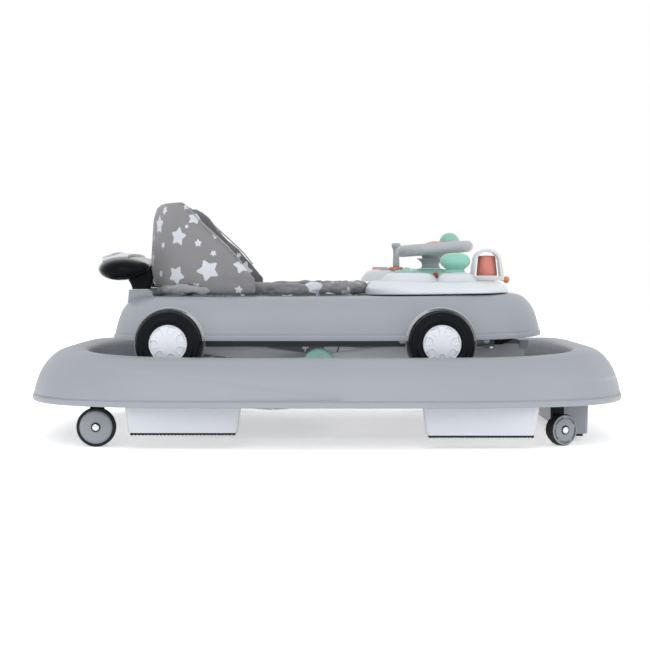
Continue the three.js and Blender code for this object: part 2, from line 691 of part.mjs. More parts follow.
// The handle's wing: an oval section that arches up from its two round ends.
function handleBar(scale = 1) {
  const steps = 10;
  const points = 14;
  const rings = [];
  for (let i = 0; i <= steps; i += 1) {
    const share = lerp(-1, 1, i / steps);
    const y = HANDLE_HALF_WIDTH * Math.sin((share * Math.PI) / 2);
    const round = Math.max(0.12, Math.sqrt(Math.max(0, 1 - Math.abs(share) ** 12)));
    const middle = 1 - (y / HANDLE_HALF_WIDTH) ** 2;
    rings.push(Array.from({ length: points }, (_, j) => {
      const t = (j / points) * 2 * Math.PI;
      return [
        HANDLE_X - HANDLE_BOW * middle + HANDLE_HALF_CHORD * round * scale * Math.cos(t),
        y,
        HANDLE_Z + HANDLE_ARCH * middle + HANDLE_HALF_DEPTH * round * scale * Math.sin(t),
      ];
    }));
  }
  return loft(rings, false);
}

function handleStem(side) {
  const y = side * STEM_Y;
  const rings = [
    [-233.5, -213.5, SOCKET_TOP_Z + GAP], [-235, -208.5, SOCKET_TOP_Z + 10],
    [-240, -208, HANDLE_Z],
  ].map(([x0, x1, z]) => [[x0, y - 11, z], [x1, y - 11, z], [x1, y + 11, z], [x0, y + 11, z]]);
  return loft(rings, false).subtract(handleBar(1.03));
}

// Light panel let into the top of the wing, behind its middle.
function handlePanel() {
  const top = HANDLE_Z + HANDLE_ARCH + HANDLE_HALF_DEPTH;
  const x = HANDLE_X - HANDLE_BOW;
  return block(x - 20, x + 12, -PANEL_HALF_WIDTH, PANEL_HALF_WIDTH, top + 0.8, top + 3.6);
}

// ---------- seat ----------

function seatRim() {
  const turns = 32;
  const points = 8;
  const a = SEAT_OPENING_X + RIM_RADIUS - RIM_OVERLAP;
  const b = SEAT_OPENING_Y + RIM_RADIUS - RIM_OVERLAP;
  const middleZ = BODY_TOP_Z + HOOD_RISE / 2 + RIM_RADIUS;
  const rings = Array.from({ length: turns }, (_, i) => {
    const t = (i / turns) * 2 * Math.PI;
    return Array.from({ length: points }, (_unused, j) => {
      const v = (j / points) * 2 * Math.PI;
      const [x, y] = superellipse(t, a + RIM_RADIUS * Math.cos(v), b + RIM_RADIUS * Math.cos(v),
        2.3);
      return [x + SEAT_X, y, middleZ + RIM_RADIUS * Math.sin(v)];
    });
  });
  return loft(rings, true);
}

// Padded back that wraps round the rear half of the seat.
function seatBack() {
  const steps = 22;
  const rings = [];
  const depth = BACK_FRONT_X - BACK_REAR_X;
  const foot = BODY_TOP_Z + 1;
  for (let i = 0; i <= steps; i += 1) {
    const t = lerp(Math.PI / 2, 1.5 * Math.PI, i / steps);
    const [cx, cy] = superellipse(t, 1, 1, BACK_CORNER);
    const forward = 1 + cx;
    const top = lerp(BACK_TOP_Z, BACK_FRONT_Z, Math.max(0, (forward - 0.25) / 0.75));
    const wallPoint = (inset, z) => [
      BACK_FRONT_X + (depth - inset) * cx, (BACK_HALF_WIDTH - inset) * cy, z,
    ];
    rings.push([
      wallPoint(1, foot), wallPoint(0, lerp(foot, top, 0.4)), wallPoint(2, top - 5),
      wallPoint(BACK_THICKNESS / 2, top), wallPoint(BACK_THICKNESS - 1, top - 5),
      wallPoint(BACK_THICKNESS, lerp(foot, top, 0.4)), wallPoint(BACK_THICKNESS, foot),
    ]);
  }
  return loft(rings, false);
}

// Hanging seat: a fabric bucket with two leg holes in its front.
function slingStack(wall, drop) {
  const levels = [
    [96, 119, BODY_TOP_Z - 1, 0], [90, 108, 130, 0], [80, 92, 90, -1],
    [62, 70, 52, -2], [44, 48, 31, -3], [26, 30, SLING_BOTTOM_Z, -4],
  ];
  return loft(levels.map(([a, b, z, shift], level) => Array.from({ length: 22 }, (_, i) => {
    const [x, y] = superellipse((i / 22) * 2 * Math.PI, a - wall, b - wall, 2.2);
    return [x + SEAT_X + shift, y, z + (level === 0 ? drop : 0) + (wall > 0 && level > 3
      ? wall : 0)];
  })), false);
}

function seatSling() {
  const bucket = slingStack(0, 0).subtract(slingStack(SLING_WALL, 5));
  const holes = SIDES.map(([, side]) => {
    const geometry = new THREE.CylinderGeometry(LEG_HOLE_R, LEG_HOLE_R, 120, 24);
    geometry.rotateZ(Math.PI / 2);
    geometry.translate(SEAT_X + 70, side * LEG_HOLE_Y, LEG_HOLE_Z);
    return solid(geometry);
  });
  return bucket.subtract(wasm.Manifold.union(holes));
}

// ---------- toy tray ----------

const TRAY_MIDDLE_X = (TRAY_X0 + TRAY_X1) / 2;
const TRAY_HALF_LENGTH = (TRAY_X1 - TRAY_X0) / 2;

function toyTray() {
  const level = (inset, z, follow = 0) => Array.from({ length: 32 }, (_, i) => {
    const [dx, y] = superellipse((i / 32) * 2 * Math.PI, TRAY_HALF_LENGTH - inset * 0.4,
      TRAY_HALF_WIDTH - inset, TRAY_CORNER);
    const x = dx + TRAY_MIDDLE_X;
    return [x, y, z + follow * deckRise(x)];
  });
  let tray = loft([level(1, TRAY_BASE_Z, 1), level(0, TRAY_BASE_Z + 2, 1),
    level(3, TRAY_BASE_Z + 8, 0.6), level(11, TRAY_TOP_Z - 5), level(22, TRAY_TOP_Z - 1.5),
    level(36, TRAY_TOP_Z)], false);
  tray = tray.add(bump(FAR_MOUND.x, FAR_MOUND.y, FAR_MOUND.a, FAR_MOUND.b, FAR_MOUND.top));
  for (const [, side] of SIDES) {
    tray = tray.add(bump(100, side * 92, 32, 34)).add(bump(157, side * 92, 23, 30));
  }
  const under = level(TRAY_WALL + 1, TRAY_BASE_Z - 1);
  const shoulder = level(TRAY_WALL + 5, TRAY_BASE_Z + 7);
  const ceiling = level(40, TRAY_TOP_Z - 2 * TRAY_WALL);
  const keel = block(TRAY_X0 + 25, TRAY_X1 - 2, -42, 42, TRAY_BASE_Z, TRAY_TOP_Z);
  tray = tray.subtract(loft([under, shoulder, ceiling], false).subtract(keel));
  const rimReach = 2 * RIM_RADIUS - RIM_OVERLAP + 1;
  const seatCut = seatPlug(SEAT_OPENING_X + rimReach, SEAT_OPENING_Y + rimReach, 100, 300);
  const deckSeat = upright(STEERING_X - 6, 0, TRAY_TOP_Z - 4, TRAY_TOP_Z + 20, 40, 40, 24);
  return tray.subtract(seatCut).subtract(deckSeat);
}

// A low rounded hill on the tray.
function bump(x, y, a, b, top = BUMP_TOP_Z) {
  const levels = [[1.12, TRAY_TOP_Z - 2], [1.04, TRAY_TOP_Z + 4], [0.86, top - 2.5],
    [0.62, top]];
  return loft(levels.map(([scale, z]) => Array.from({ length: 16 }, (_, i) => {
    const [dx, dy] = superellipse((i / 16) * 2 * Math.PI, a * scale, b * scale, 2.4);
    return [x + dx, y + dy, z];
  })), false);
}

// Mound round the steering column.
function mintDeck() {
  const z = TRAY_TOP_Z - 3.7;
  return turned([[0, z], [39.5, z], [39.5, TRAY_TOP_Z + 1], [33, TRAY_TOP_Z + 8],
    [22, MOUND_TOP_Z - 2], [16, MOUND_TOP_Z], [0, MOUND_TOP_Z]], 24)
    .translate([STEERING_X - 6, 0, 0]);
}

const columnTop = STEERING_Z - 14;

function steeringColumn() {
  return upright(STEERING_X - 5, 0, MOUND_TOP_Z + GAP, columnTop - 4, 11, 11, 20)
    .add(upright(STEERING_X - 5, 0, columnTop - 5, columnTop, 11, 17, 20));
}

// Places a solid made about the wheel's own axis onto the tilted column.
function onWheelAxis(piece) {
  return piece.rotate([0, -STEERING_TILT_DEG, 0]).translate([STEERING_X, 0, STEERING_Z]);
}

function steeringWheel() {
  const ring = new THREE.TorusGeometry(STEERING_R, STEERING_TUBE_R, 8, 24);
  const hub = upright(0, 0, -12.5, 1, 15, HORN_R + 4, 24);
  const spokes = [0, 120, 240].map((angle) =>
    block(12, STEERING_R, -8, 8, -5, 3).rotate([0, 0, angle]));
  const pocket = upright(0, 0, -6, 5, HORN_R + PIN_CLEARANCE, HORN_R + PIN_CLEARANCE, 24);
  const wheel = wasm.Manifold.union([solid(ring), hub, ...spokes]).subtract(pocket);
  return onWheelAxis(wheel);
}

function hornButton() {
  const r = HORN_R;
  return onWheelAxis(turned([[0, -6 + HORN_TRAVEL + GAP], [r, -6 + HORN_TRAVEL + GAP], [r, 3],
    [r - 2.5, 6.5], [r - 8, 8.8], [0, 9.6]], 24));
}

// Far-side gear lever, and a tall stalk that ends in a ball.
const GEAR = { x: 90, y: 66, r: 4.6, top: 234.5 };
const STALK = { x: 160, y: 76, ballTop: 248 };
const KNOB = { x: 155.8, y: -90 };

function addLevers() {
  const podTop = FAR_MOUND.top + GAP;
  const tip = GEAR.top - podTop;
  add("gear_lever", turned([[0, 0], [2.6, 0.8], [4, 2.3], [GEAR.r, GEAR.r], [4.2, tip - 7],
    [6.2, tip - 4], [5, tip], [0, tip]], 14).translate([GEAR.x, GEAR.y, podTop]), DARK_GREY);
  const foot = BUMP_TOP_Z + GAP;
  const ball = STALK.ballTop;
  add("ball_lever", turned([[0, foot], [5, foot], [4, ball - 16.6], [11, ball - 13.1],
    [13.5, ball - 8.6], [11.5, ball - 4], [0, ball]], 14).translate([STALK.x, STALK.y, 0]), MINT);
}

function addKnobs() {
  const z = BUMP_TOP_Z + GAP;
  const neck = 8.5;
  add("mushroom_knob", turned([[0, 0], [neck + 6, 0], [neck + 1, 3], [neck, 6], [15, 8],
    [18.3, 12], [18.6, 15], [16.5, 19.5], [10, 22.8], [0, 24]], 16)
    .translate([KNOB.x, KNOB.y, z]), MINT);
}

// Arched housing on the tray's near front with a drum that spins upright in it.
const ARCH = { x: 197.5, y: -52, halfLength: 20.5, halfDepth: 15, top: 225.5 };
const DRUM_R = 13;

function archHousing() {
  const outline = new THREE.Shape();
  const springLine = ARCH.top - ARCH.halfLength * 0.8;
  outline.moveTo(-ARCH.halfLength, TRAY_TOP_Z + GAP);
  outline.lineTo(-ARCH.halfLength * 0.92, springLine - 6);
  outline.absellipse(0, springLine, ARCH.halfLength * 0.84, ARCH.halfLength * 0.8, Math.PI, 0,
    true);
  outline.lineTo(ARCH.halfLength, TRAY_TOP_Z + GAP);
  outline.closePath();
  const geometry = new THREE.ExtrudeGeometry(outline,
    { depth: 2 * ARCH.halfDepth, bevelEnabled: false, curveSegments: 12 });
  geometry.rotateX(Math.PI / 2);
  geometry.translate(ARCH.x, ARCH.y + ARCH.halfDepth, 0);
  const reach = DRUM_R + 1;
  const window = block(ARCH.x - reach, ARCH.x + reach, ARCH.y - 30, ARCH.y + 30,
    TRAY_TOP_Z + 6, ARCH.top - 8);
  return solid(geometry).subtract(window);
}

function archDrum() {
  const z0 = TRAY_TOP_Z + 6 + GAP;
  const z1 = ARCH.top - 8 - GAP;
  return upright(ARCH.x, ARCH.y, z0, z1, DRUM_R, DRUM_R - 3, 18);
}

function orangeBead() {
  const ball = new THREE.SphereGeometry(4.4, 10, 6);
  ball.translate(TRAY_X1 + 4.8, 0, TRAY_TOP_Z + 1);
  return solid(ball);
}

// ---------- height adjuster under the hood ----------

const ADJUSTER = {
  x0: 174, x1: 240, halfWidth: 140, z0: 96, step: 105.5, z1: 112, setback: 18, toe: 5, wall: 3,
};
const LEVER = { x0: 192.5, x1: 222.5, halfWidth: 120, thickness: 5.5, travel: 8 };

// A wide stepped box that hangs from a post, open on top behind its step.
function adjusterHousing() {
  const { x0, x1, halfWidth, z0, step, z1, setback, toe, wall } = ADJUSTER;
  const upperX = x0 + setback;
  const slot = block(LEVER.x0 + 8, LEVER.x0 + 18 + LEVER.travel, -9, 9, z0 - 1, z0 + 7);
  const hollow = block(x0 + wall, x1 - toe - wall, wall - halfWidth, halfWidth - wall, z0 + wall,
    step);
  const mouth = block(x0 + wall, upperX, wall - halfWidth, halfWidth - wall, step - 1, step + 2);
  const post = (from, to) => block(upperX + 13, x1 - 13, -20, 20, from, to);
  return wasm.Manifold.union([
    block(x0, x1 - toe, -halfWidth, halfWidth, z0, step + 1).subtract(hollow),
    block(upperX, x1, -halfWidth, halfWidth, step, z1),
    post(z1 - 1, BODY_BOTTOM_Z + NOSE_LIFT),
    underDeck(post(BODY_BOTTOM_Z - 1, BODY_TOP_Z + HOOD_RISE)),
  ]).subtract(mouth).subtract(slot);
}

function releaseLever() {
  const top = ADJUSTER.z0 - GAP;
  return block(LEVER.x0, LEVER.x1, -LEVER.halfWidth, LEVER.halfWidth, top - LEVER.thickness, top)
    .add(block(LEVER.x0 + 8.5, LEVER.x0 + 17.5, -8, 8, top - 1, ADJUSTER.z0 + 6));
}

// ---------- assembly ----------

add("base_shell", baseShell(), GREY);
addBlocks();
addCastors();
for (const [name, side] of SIDES) {
  add(`base_rail_${name}`, baseRail(side), DARK_GREY);
  add(`tray_rail_${name}`, trayRail(side), DARK_GREY);
  add(`pivot_cap_${name}`, pivotCap(side), MINT);
  add(`handle_stem_${name}`, handleStem(side), BLACK_GLOSS);
}
add("frame_outer", frameA(), WHITE);
add("frame_inner", frameB(), WHITE);
add("body_shell", bodyShell(), GREY);
addRoadWheels();
add("handle_bar", handleBar(), BLACK_GLOSS);
add("handle_panel", handlePanel(), WHITE);
add("seat_rim", seatRim(), FABRIC);
add("seat_back", seatBack(), FABRIC);
add("seat_sling", seatSling(), DARK_FABRIC);
add("toy_tray", toyTray(), WHITE);
add("mint_deck", mintDeck(), MINT);
add("steering_column", steeringColumn(), GREY);
add("steering_wheel", steeringWheel(), GREY);
add("horn_button", hornButton(), CORAL);
addLevers();
addKnobs();
add("arch_housing", archHousing(), WHITE);
add("arch_drum", archDrum(), CORAL);
add("orange_bead", orangeBead(), ORANGE);
add("adjuster_housing", adjusterHousing(), GREY);
add("release_lever", releaseLever(), RED);

export default walker;
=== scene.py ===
"""Baby walker folded flat on its castor base: the looks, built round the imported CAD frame."""

import json
import math

import bmesh
import bpy
from mathutils import Matrix, Vector, noise


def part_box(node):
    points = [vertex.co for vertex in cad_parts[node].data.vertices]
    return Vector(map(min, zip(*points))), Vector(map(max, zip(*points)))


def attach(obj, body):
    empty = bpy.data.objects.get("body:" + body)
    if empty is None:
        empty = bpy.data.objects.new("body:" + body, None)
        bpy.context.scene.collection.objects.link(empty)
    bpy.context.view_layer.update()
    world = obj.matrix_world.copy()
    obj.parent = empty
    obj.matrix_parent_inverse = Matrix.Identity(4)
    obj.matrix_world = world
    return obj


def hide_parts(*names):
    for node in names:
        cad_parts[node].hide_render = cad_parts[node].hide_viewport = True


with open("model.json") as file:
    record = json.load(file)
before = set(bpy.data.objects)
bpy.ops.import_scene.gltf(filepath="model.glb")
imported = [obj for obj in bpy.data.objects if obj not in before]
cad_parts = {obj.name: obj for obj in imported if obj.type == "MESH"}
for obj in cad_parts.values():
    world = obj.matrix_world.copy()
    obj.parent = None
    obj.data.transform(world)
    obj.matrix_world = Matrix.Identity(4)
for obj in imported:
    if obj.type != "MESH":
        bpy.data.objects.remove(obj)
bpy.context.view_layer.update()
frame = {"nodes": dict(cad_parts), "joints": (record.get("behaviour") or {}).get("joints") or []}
MM = 0.001
SIDES = (("right", -1), ("left", 1))
ENDS = ("rear", "front")


# ---------- node materials ----------

def material(name):
    made = bpy.data.materials.new(name)
    made.use_nodes = True
    tree = made.node_tree
    return made, tree, tree.nodes["Principled BSDF"]


def node(tree, kind, **settings):
    made = tree.nodes.new(kind)
    for key, value in settings.items():
        setattr(made, key, value)
    return made


def link(tree, start, end):
    tree.links.new(start, end)


def math_node(tree, operation, a, b=None, c=None):
    """A Math node whose inputs are sockets or numbers; returns its output."""
    made = node(tree, "ShaderNodeMath", operation=operation)
    for slot, value in zip(made.inputs, (a, b, c)):
        if value is None:
            continue
        if isinstance(value, bpy.types.NodeSocket):
            link(tree, value, slot)
        else:
            slot.default_value = value
    return made.outputs[0]


def mixed(tree, factor, a, b):
    """Colours a and b mixed by a factor socket; a and b are sockets or colours."""
    mix = node(tree, "ShaderNodeMix", data_type="RGBA")
    link(tree, factor, mix.inputs["Factor"])
    for slot, value in ((mix.inputs[6], a), (mix.inputs[7], b)):
        if isinstance(value, bpy.types.NodeSocket):
            link(tree, value, slot)
        else:
            slot.default_value = (*value, 1)
    return mix.outputs[2]


def noise_node(tree, vector, scale, detail=3.0, roughness=0.5):
    made = node(tree, "ShaderNodeTexNoise")
    made.inputs["Scale"].default_value = scale
    made.inputs["Detail"].default_value = detail
    made.inputs["Roughness"].default_value = roughness
    link(tree, vector, made.inputs["Vector"])
    return made.outputs["Fac"]


def ranged(tree, value, low, high, new_low, new_high):
    made = node(tree, "ShaderNodeMapRange")
    link(tree, value, made.inputs["Value"])
    for key, number in (("From Min", low), ("From Max", high), ("To Min", new_low),
                        ("To Max", new_high)):
        made.inputs[key].default_value = number
    return made.outputs["Result"]


def bump(tree, height, distance, strength, shader):
    made = node(tree, "ShaderNodeBump")
    made.inputs["Distance"].default_value = distance
    made.inputs["Strength"].default_value = strength
    link(tree, height, made.inputs["Height"])
    link(tree, made.outputs["Normal"], shader.inputs["Normal"])


def shade(color, factor):
    return tuple(min(1.0, c * factor) for c in color)


def plastic(name, color, rough, grain=0.04, coat=0.0, soft=0.0, bend=1.45):
    """Moulded plastic: an etched grain, faint flow marks and handling shine."""
    made, tree, shader = material(name)
    shader.inputs["IOR"].default_value = bend
    where = node(tree, "ShaderNodeTexCoord").outputs["Object"]
    cloud = noise_node(tree, where, 9.0, 4.0)
    grainy = noise_node(tree, where, 1400.0, 2.0, 0.6)
    link(tree, mixed(tree, ranged(tree, cloud, 0.35, 0.65, 0, 1), shade(color, 0.965), color),
         shader.inputs["Base Color"])
    worn = noise_node(tree, where, 34.0, 5.0, 0.65)
    link(tree, ranged(tree, worn, 0.3, 0.7, rough * 0.88, rough * 1.14),
         shader.inputs["Roughness"])
    shader.inputs["Coat Weight"].default_value = coat
    shader.inputs["Coat Roughness"].default_value = 0.12
    shader.inputs["Subsurface Weight"].default_value = soft
    shader.inputs["Subsurface Scale"].default_value = 0.004
    bump(tree, grainy, 0.0004, grain, shader)
    return made


def rubber(name, color, rough):
    """Matt rubber with a dusty surface."""
    made, tree, shader = material(name)
    shader.inputs["Specular IOR Level"].default_value = 0.25
    where = node(tree, "ShaderNodeTexCoord").outputs["Object"]
    dust = noise_node(tree, where, 60.0, 6.0, 0.7)
    link(tree, mixed(tree, ranged(tree, dust, 0.5, 0.75, 0, 0.5), color, shade(color, 2.6)),
         shader.inputs["Base Color"])
    link(tree, ranged(tree, dust, 0.3, 0.7, rough * 0.85, min(1, rough * 1.15)),
         shader.inputs["Roughness"])
    bump(tree, noise_node(tree, where, 900.0, 3.0), 0.0005, 0.18, shader)
    return made


def metal(name, color, rough):
    """Plated metal with fine polishing marks."""
    made, tree, shader = material(name)
    where = node(tree, "ShaderNodeTexCoord").outputs["Object"]
    marks = noise_node(tree, where, 420.0, 5.0, 0.7)
    shader.inputs["Metallic"].default_value = 1.0
    link(tree, mixed(tree, marks, shade(color, 0.9), color), shader.inputs["Base Color"])
    link(tree, ranged(tree, marks, 0.3, 0.7, rough * 0.7, rough * 1.3),
         shader.inputs["Roughness"])
    bump(tree, marks, 0.0002, 0.1, shader)
    return made


# The print's repeat, in millimetres: each star's place, radius and turn.
PRINT_WIDTH = 190.0
PRINT_HEIGHT = 116.0
STARS = (
    (177, 239, 12.3, 45), (139, 199, 14.2, 6), (179, 193, 12.8, 24), (100, 205, 11.2, 66),
    (218, 254, 12.6, 54), (243, 212, 12.6, 54), (206, 271, 6.0, 24), (158, 261, 8.6, 46),
    (170, 275, 4.6, 56), (204, 229, 4.6, 24), (151, 231, 5.2, 56), (133, 219, 4.2, 14),
    (208, 195, 5.2, 66), (153, 179.5, 5.6, 14), (104, 176, 5.4, 46), (131, 240, 5.0, 66),
    (166, 251, 2.8, 36), (242, 238, 4.2, 36), (93, 234, 7.5, 20), (113, 259, 9.4, 8),
    (92, 274, 5.0, 50), (127, 279, 4.4, 30), (240, 184, 7.0, 12),
)
STAR_WAIST = 0.56
STAR_ROUNDING = 0.9


def star_group():
    """One printed star: 1 inside it, 0 outside, repeating over the cloth."""
    tree = bpy.data.node_groups.new("printed_star", "ShaderNodeTree")
    for name in ("Across", "Up", "X", "Y", "Radius", "Turn"):
        tree.interface.new_socket(name, in_out="INPUT", socket_type="NodeSocketFloat")
    tree.interface.new_socket("Mask", in_out="OUTPUT", socket_type="NodeSocketFloat")
    given = node(tree, "NodeGroupInput").outputs
    across = math_node(tree, "SUBTRACT", given["Across"], given["X"])
    up = math_node(tree, "SUBTRACT", given["Up"], given["Y"])
    across = math_node(tree, "WRAP", across, PRINT_WIDTH / 2, -PRINT_WIDTH / 2)
    up = math_node(tree, "WRAP", up, PRINT_HEIGHT / 2, -PRINT_HEIGHT / 2)
    reach = math_node(tree, "SQRT", math_node(
        tree, "ADD", math_node(tree, "MULTIPLY", across, across),
        math_node(tree, "MULTIPLY", up, up)))
    angle = math_node(tree, "ADD", math_node(tree, "ARCTAN2", up, across), given["Turn"])
    folded = math_node(tree, "ABSOLUTE",
                       math_node(tree, "WRAP", angle, math.pi / 5, -math.pi / 5))
    edge_x = STAR_WAIST * math.cos(math.pi / 5) - 1
    edge_y = STAR_WAIST * math.sin(math.pi / 5)
    length = math.hypot(edge_x, edge_y)
    normal_x = edge_y / length
    normal_y = -edge_x / length
    along = math_node(tree, "MULTIPLY", math_node(
        tree, "MULTIPLY", reach, math_node(tree, "COSINE", folded)), normal_x)
    aside = math_node(tree, "MULTIPLY", math_node(
        tree, "MULTIPLY", reach, math_node(tree, "SINE", folded)), normal_y)
    tip = math_node(tree, "MULTIPLY", given["Radius"], normal_x)
    edge = math_node(tree, "SUBTRACT", math_node(tree, "ADD", along, aside), tip)
    rounding = math_node(tree, "SUBTRACT", reach, math_node(
        tree, "MULTIPLY", given["Radius"], STAR_ROUNDING))
    outside = math_node(tree, "MAXIMUM", edge, rounding)
    mask = ranged(tree, outside, -0.2, 0.2, 1, 0)
    link(tree, mask, node(tree, "NodeGroupOutput").inputs["Mask"])
    return tree


def star_cloth(name, color, print_color):
    """Woven cotton printed with stars; its UV map is in metres along the cloth."""
    made, tree, shader = material(name)
    uv = node(tree, "ShaderNodeUVMap", uv_map="cloth").outputs["UV"]
    split = node(tree, "ShaderNodeSeparateXYZ")
    link(tree, uv, split.inputs[0])
    across = math_node(tree, "MULTIPLY", split.outputs["X"], 1000.0)
    up = math_node(tree, "MULTIPLY", split.outputs["Y"], 1000.0)
    group = star_group()
    mask = None
    for x, y, radius, turn in STARS:
        star = node(tree, "ShaderNodeGroup", node_tree=group)
        link(tree, across, star.inputs["Across"])
        link(tree, up, star.inputs["Up"])
        star.inputs["X"].default_value = x
        star.inputs["Y"].default_value = y
        star.inputs["Radius"].default_value = radius
        star.inputs["Turn"].default_value = math.radians(turn)
        out = star.outputs["Mask"]
        mask = out if mask is None else math_node(tree, "MAXIMUM", mask, out)
    where = node(tree, "ShaderNodeTexCoord").outputs["Object"]
    cloud = noise_node(tree, where, 26.0, 5.0, 0.6)
    warp = math_node(tree, "SINE", math_node(tree, "MULTIPLY", across, 2 * math.pi / 0.9))
    weft = math_node(tree, "SINE", math_node(tree, "MULTIPLY", up, 2 * math.pi / 0.8))
    weave = math_node(tree, "MULTIPLY", warp, weft)
    ground = mixed(tree, cloud, shade(color, 0.93), shade(color, 1.06))
    printed = mixed(tree, mask, ground, print_color)
    thread = mixed(tree, ranged(tree, weave, -1, 1, 0.0, 0.12), printed, shade(color, 0.5))
    link(tree, thread, shader.inputs["Base Color"])
    link(tree, ranged(tree, mask, 0, 1, 0.92, 0.8), shader.inputs["Roughness"])
    shader.inputs["Sheen Weight"].default_value = 0.25
    shader.inputs["Sheen Roughness"].default_value = 0.5
    bump(tree, math_node(tree, "ADD", weave, noise_node(tree, where, 700.0, 3.0)),
         0.0003, 0.35, shader)
    return made


def webbing_cloth(name, color):
    """Plain ribbed binding and strap tape."""
    made, tree, shader = material(name)
    where = node(tree, "ShaderNodeTexCoord").outputs["Object"]
    ribs = node(tree, "ShaderNodeTexWave", wave_type="BANDS", bands_direction="DIAGONAL")
    ribs.inputs["Scale"].default_value = 420.0
    ribs.inputs["Distortion"].default_value = 0.6
    link(tree, where, ribs.inputs["Vector"])
    cloud = noise_node(tree, where, 45.0, 4.0)
    link(tree, mixed(tree, cloud, shade(color, 0.85), shade(color, 1.1)),
         shader.inputs["Base Color"])
    shader.inputs["Roughness"].default_value = 0.9
    shader.inputs["Sheen Weight"].default_value = 0.2
    bump(tree, ribs.outputs["Fac"], 0.0003, 0.5, shader)
    return made


GREY = plastic("grey_satin_plastic", (0.295, 0.31, 0.345), 0.42, 0.06)
BODY_GREY = plastic("body_grey_plastic", (0.285, 0.305, 0.34), 0.4, 0.05)
PALE_GREY = plastic("pale_grey_plastic", (0.41, 0.425, 0.45), 0.34, 0.03)
MID_GREY = plastic("mid_grey_plastic", (0.25, 0.265, 0.295), 0.45, 0.05)
# Near-black grey for the base and tray rails: painted shade for the dark gap under the body.
PAINTED_SHADE_GREY = plastic("dark_grey_plastic", (0.05, 0.053, 0.058), 0.5, 0.06)
WHITE = plastic("white_plastic", (0.62, 0.655, 0.69), 0.3, 0.03, coat=0.1)
CAP_WHITE = plastic("cap_white_plastic", (0.68, 0.7, 0.75), 0.35, 0.03, coat=0.1)
BLOCK_WHITE = plastic("block_white_plastic", (0.57, 0.59, 0.64), 0.42, 0.05)
MINT = plastic("mint_plastic", (0.24, 0.53, 0.43), 0.3, 0.02, coat=0.1, soft=0.06)
PALE_MINT = plastic("pale_mint_plastic", (0.38, 0.72, 0.62), 0.3, 0.02, coat=0.1)
CORAL = plastic("coral_plastic", (0.6, 0.205, 0.15), 0.32, 0.02, coat=0.1, soft=0.06)
ORANGE = plastic("orange_plastic", (0.68, 0.24, 0.07), 0.3, 0.02, coat=0.15)
RED = plastic("red_plastic", (0.5, 0.012, 0.012), 0.3, 0.02, coat=0.2)
WINE = plastic("wine_plastic", (0.27, 0.01, 0.03), 0.25, 0.02, coat=0.3)
PINK = plastic("pink_plastic", (0.7, 0.36, 0.34), 0.34, 0.02)
BLACK_GLOSS = plastic("gloss_black_plastic", (0.0055, 0.006, 0.0075), 0.14, 0.01, bend=1.13)
BLACK = plastic("black_plastic", (0.01, 0.01, 0.011), 0.4, 0.05, bend=1.2)
TYRE = plastic("toy_tyre_plastic", (0.007, 0.008, 0.01), 0.24, 0.02, bend=1.15)
RUBBER = rubber("black_rubber", (0.012, 0.012, 0.013), 0.7)
CHROME = metal("chrome_plate", (0.78, 0.79, 0.8), 0.08)
FRAME_PAINT = plastic("frame_paint", (0.6, 0.62, 0.65), 0.35, 0.03)
CLOTH = star_cloth("star_cloth", (0.225, 0.225, 0.235), (0.62, 0.64, 0.7))
# A darker copy of the star cloth: painted shade for the seat back's inward face and the sling
# hanging under the body.
PAINTED_SHADE_CLOTH = star_cloth("inner_star_cloth", (0.13, 0.13, 0.138), (0.6, 0.62, 0.68))
BINDING = webbing_cloth("grey_binding", (0.3, 0.305, 0.32))


# ---------- mesh helpers ----------

def make(name, points, faces, look, smooth_below=38.0):
    """A mesh object with smooth faces whose edges over an angle stay sharp."""
    mesh = bpy.data.meshes.new(name)
    mesh.from_pydata([tuple(p) for p in points], [], faces)
    mesh.materials.append(look)
    made = bpy.data.objects.new(name, mesh)
    bpy.context.scene.collection.objects.link(made)
    clean(made, smooth_below)
    return made


def clean(made, smooth_below=38.0):
    mesh = bmesh.new()
    mesh.from_mesh(made.data)
    bmesh.ops.remove_doubles(mesh, verts=mesh.verts, dist=1e-6)
    bmesh.ops.recalc_face_normals(mesh, faces=mesh.faces)
    for face in mesh.faces:
        face.smooth = True
    for edge in mesh.edges:
        edge.smooth = edge.calc_face_angle(0) < math.radians(smooth_below)
    mesh.to_mesh(made.data)
    mesh.free()


def apply_modifiers(made, smooth_below=38.0):
    bpy.context.view_layer.update()
    view = made.evaluated_get(bpy.context.evaluated_depsgraph_get())
    mesh = bpy.data.meshes.new_from_object(view)
    made.modifiers.clear()
    made.data = mesh
    clean(made, smooth_below)
    return made


def subdivide(made, levels=1, smooth_below=60.0):
    step = made.modifiers.new("subdivide", "SUBSURF")
    step.levels = levels
    step.render_levels = levels
    return apply_modifiers(made, smooth_below)


def bevel(made, width, segments=3, angle=40.0, smooth_below=38.0):
    step = made.modifiers.new("bevel", "BEVEL")
    step.width = width
    step.segments = segments
    step.limit_method = "ANGLE"
    step.angle_limit = math.radians(angle)
    step.harden_normals = False
    return apply_modifiers(made, smooth_below)


def cut(made, tool, operation="DIFFERENCE", smooth_below=38.0):
    step = made.modifiers.new("cut", "BOOLEAN")
    step.operation = operation
    step.solver = "MANIFOLD"
    step.object = tool
    apply_modifiers(made, smooth_below)
    bpy.data.objects.remove(tool)
    return made


def join(name, parts):
    """Several mesh objects as one."""
    mesh = bmesh.new()
    looks = []
    for part in parts:
        slots = []
        for look in part.data.materials:
            if look not in looks:
                looks.append(look)
            slots.append(looks.index(look))
        before = len(mesh.faces)
        mesh.from_mesh(part.data)
        mesh.faces.ensure_lookup_table()
        for face in mesh.faces[before:]:
            face.material_index = slots[face.material_index]
        bpy.data.objects.remove(part)
    data = bpy.data.meshes.new(name)
    mesh.to_mesh(data)
    mesh.free()
    for look in looks:
        data.materials.append(look)
    made = bpy.data.objects.new(name, data)
    bpy.context.scene.collection.objects.link(made)
    return made


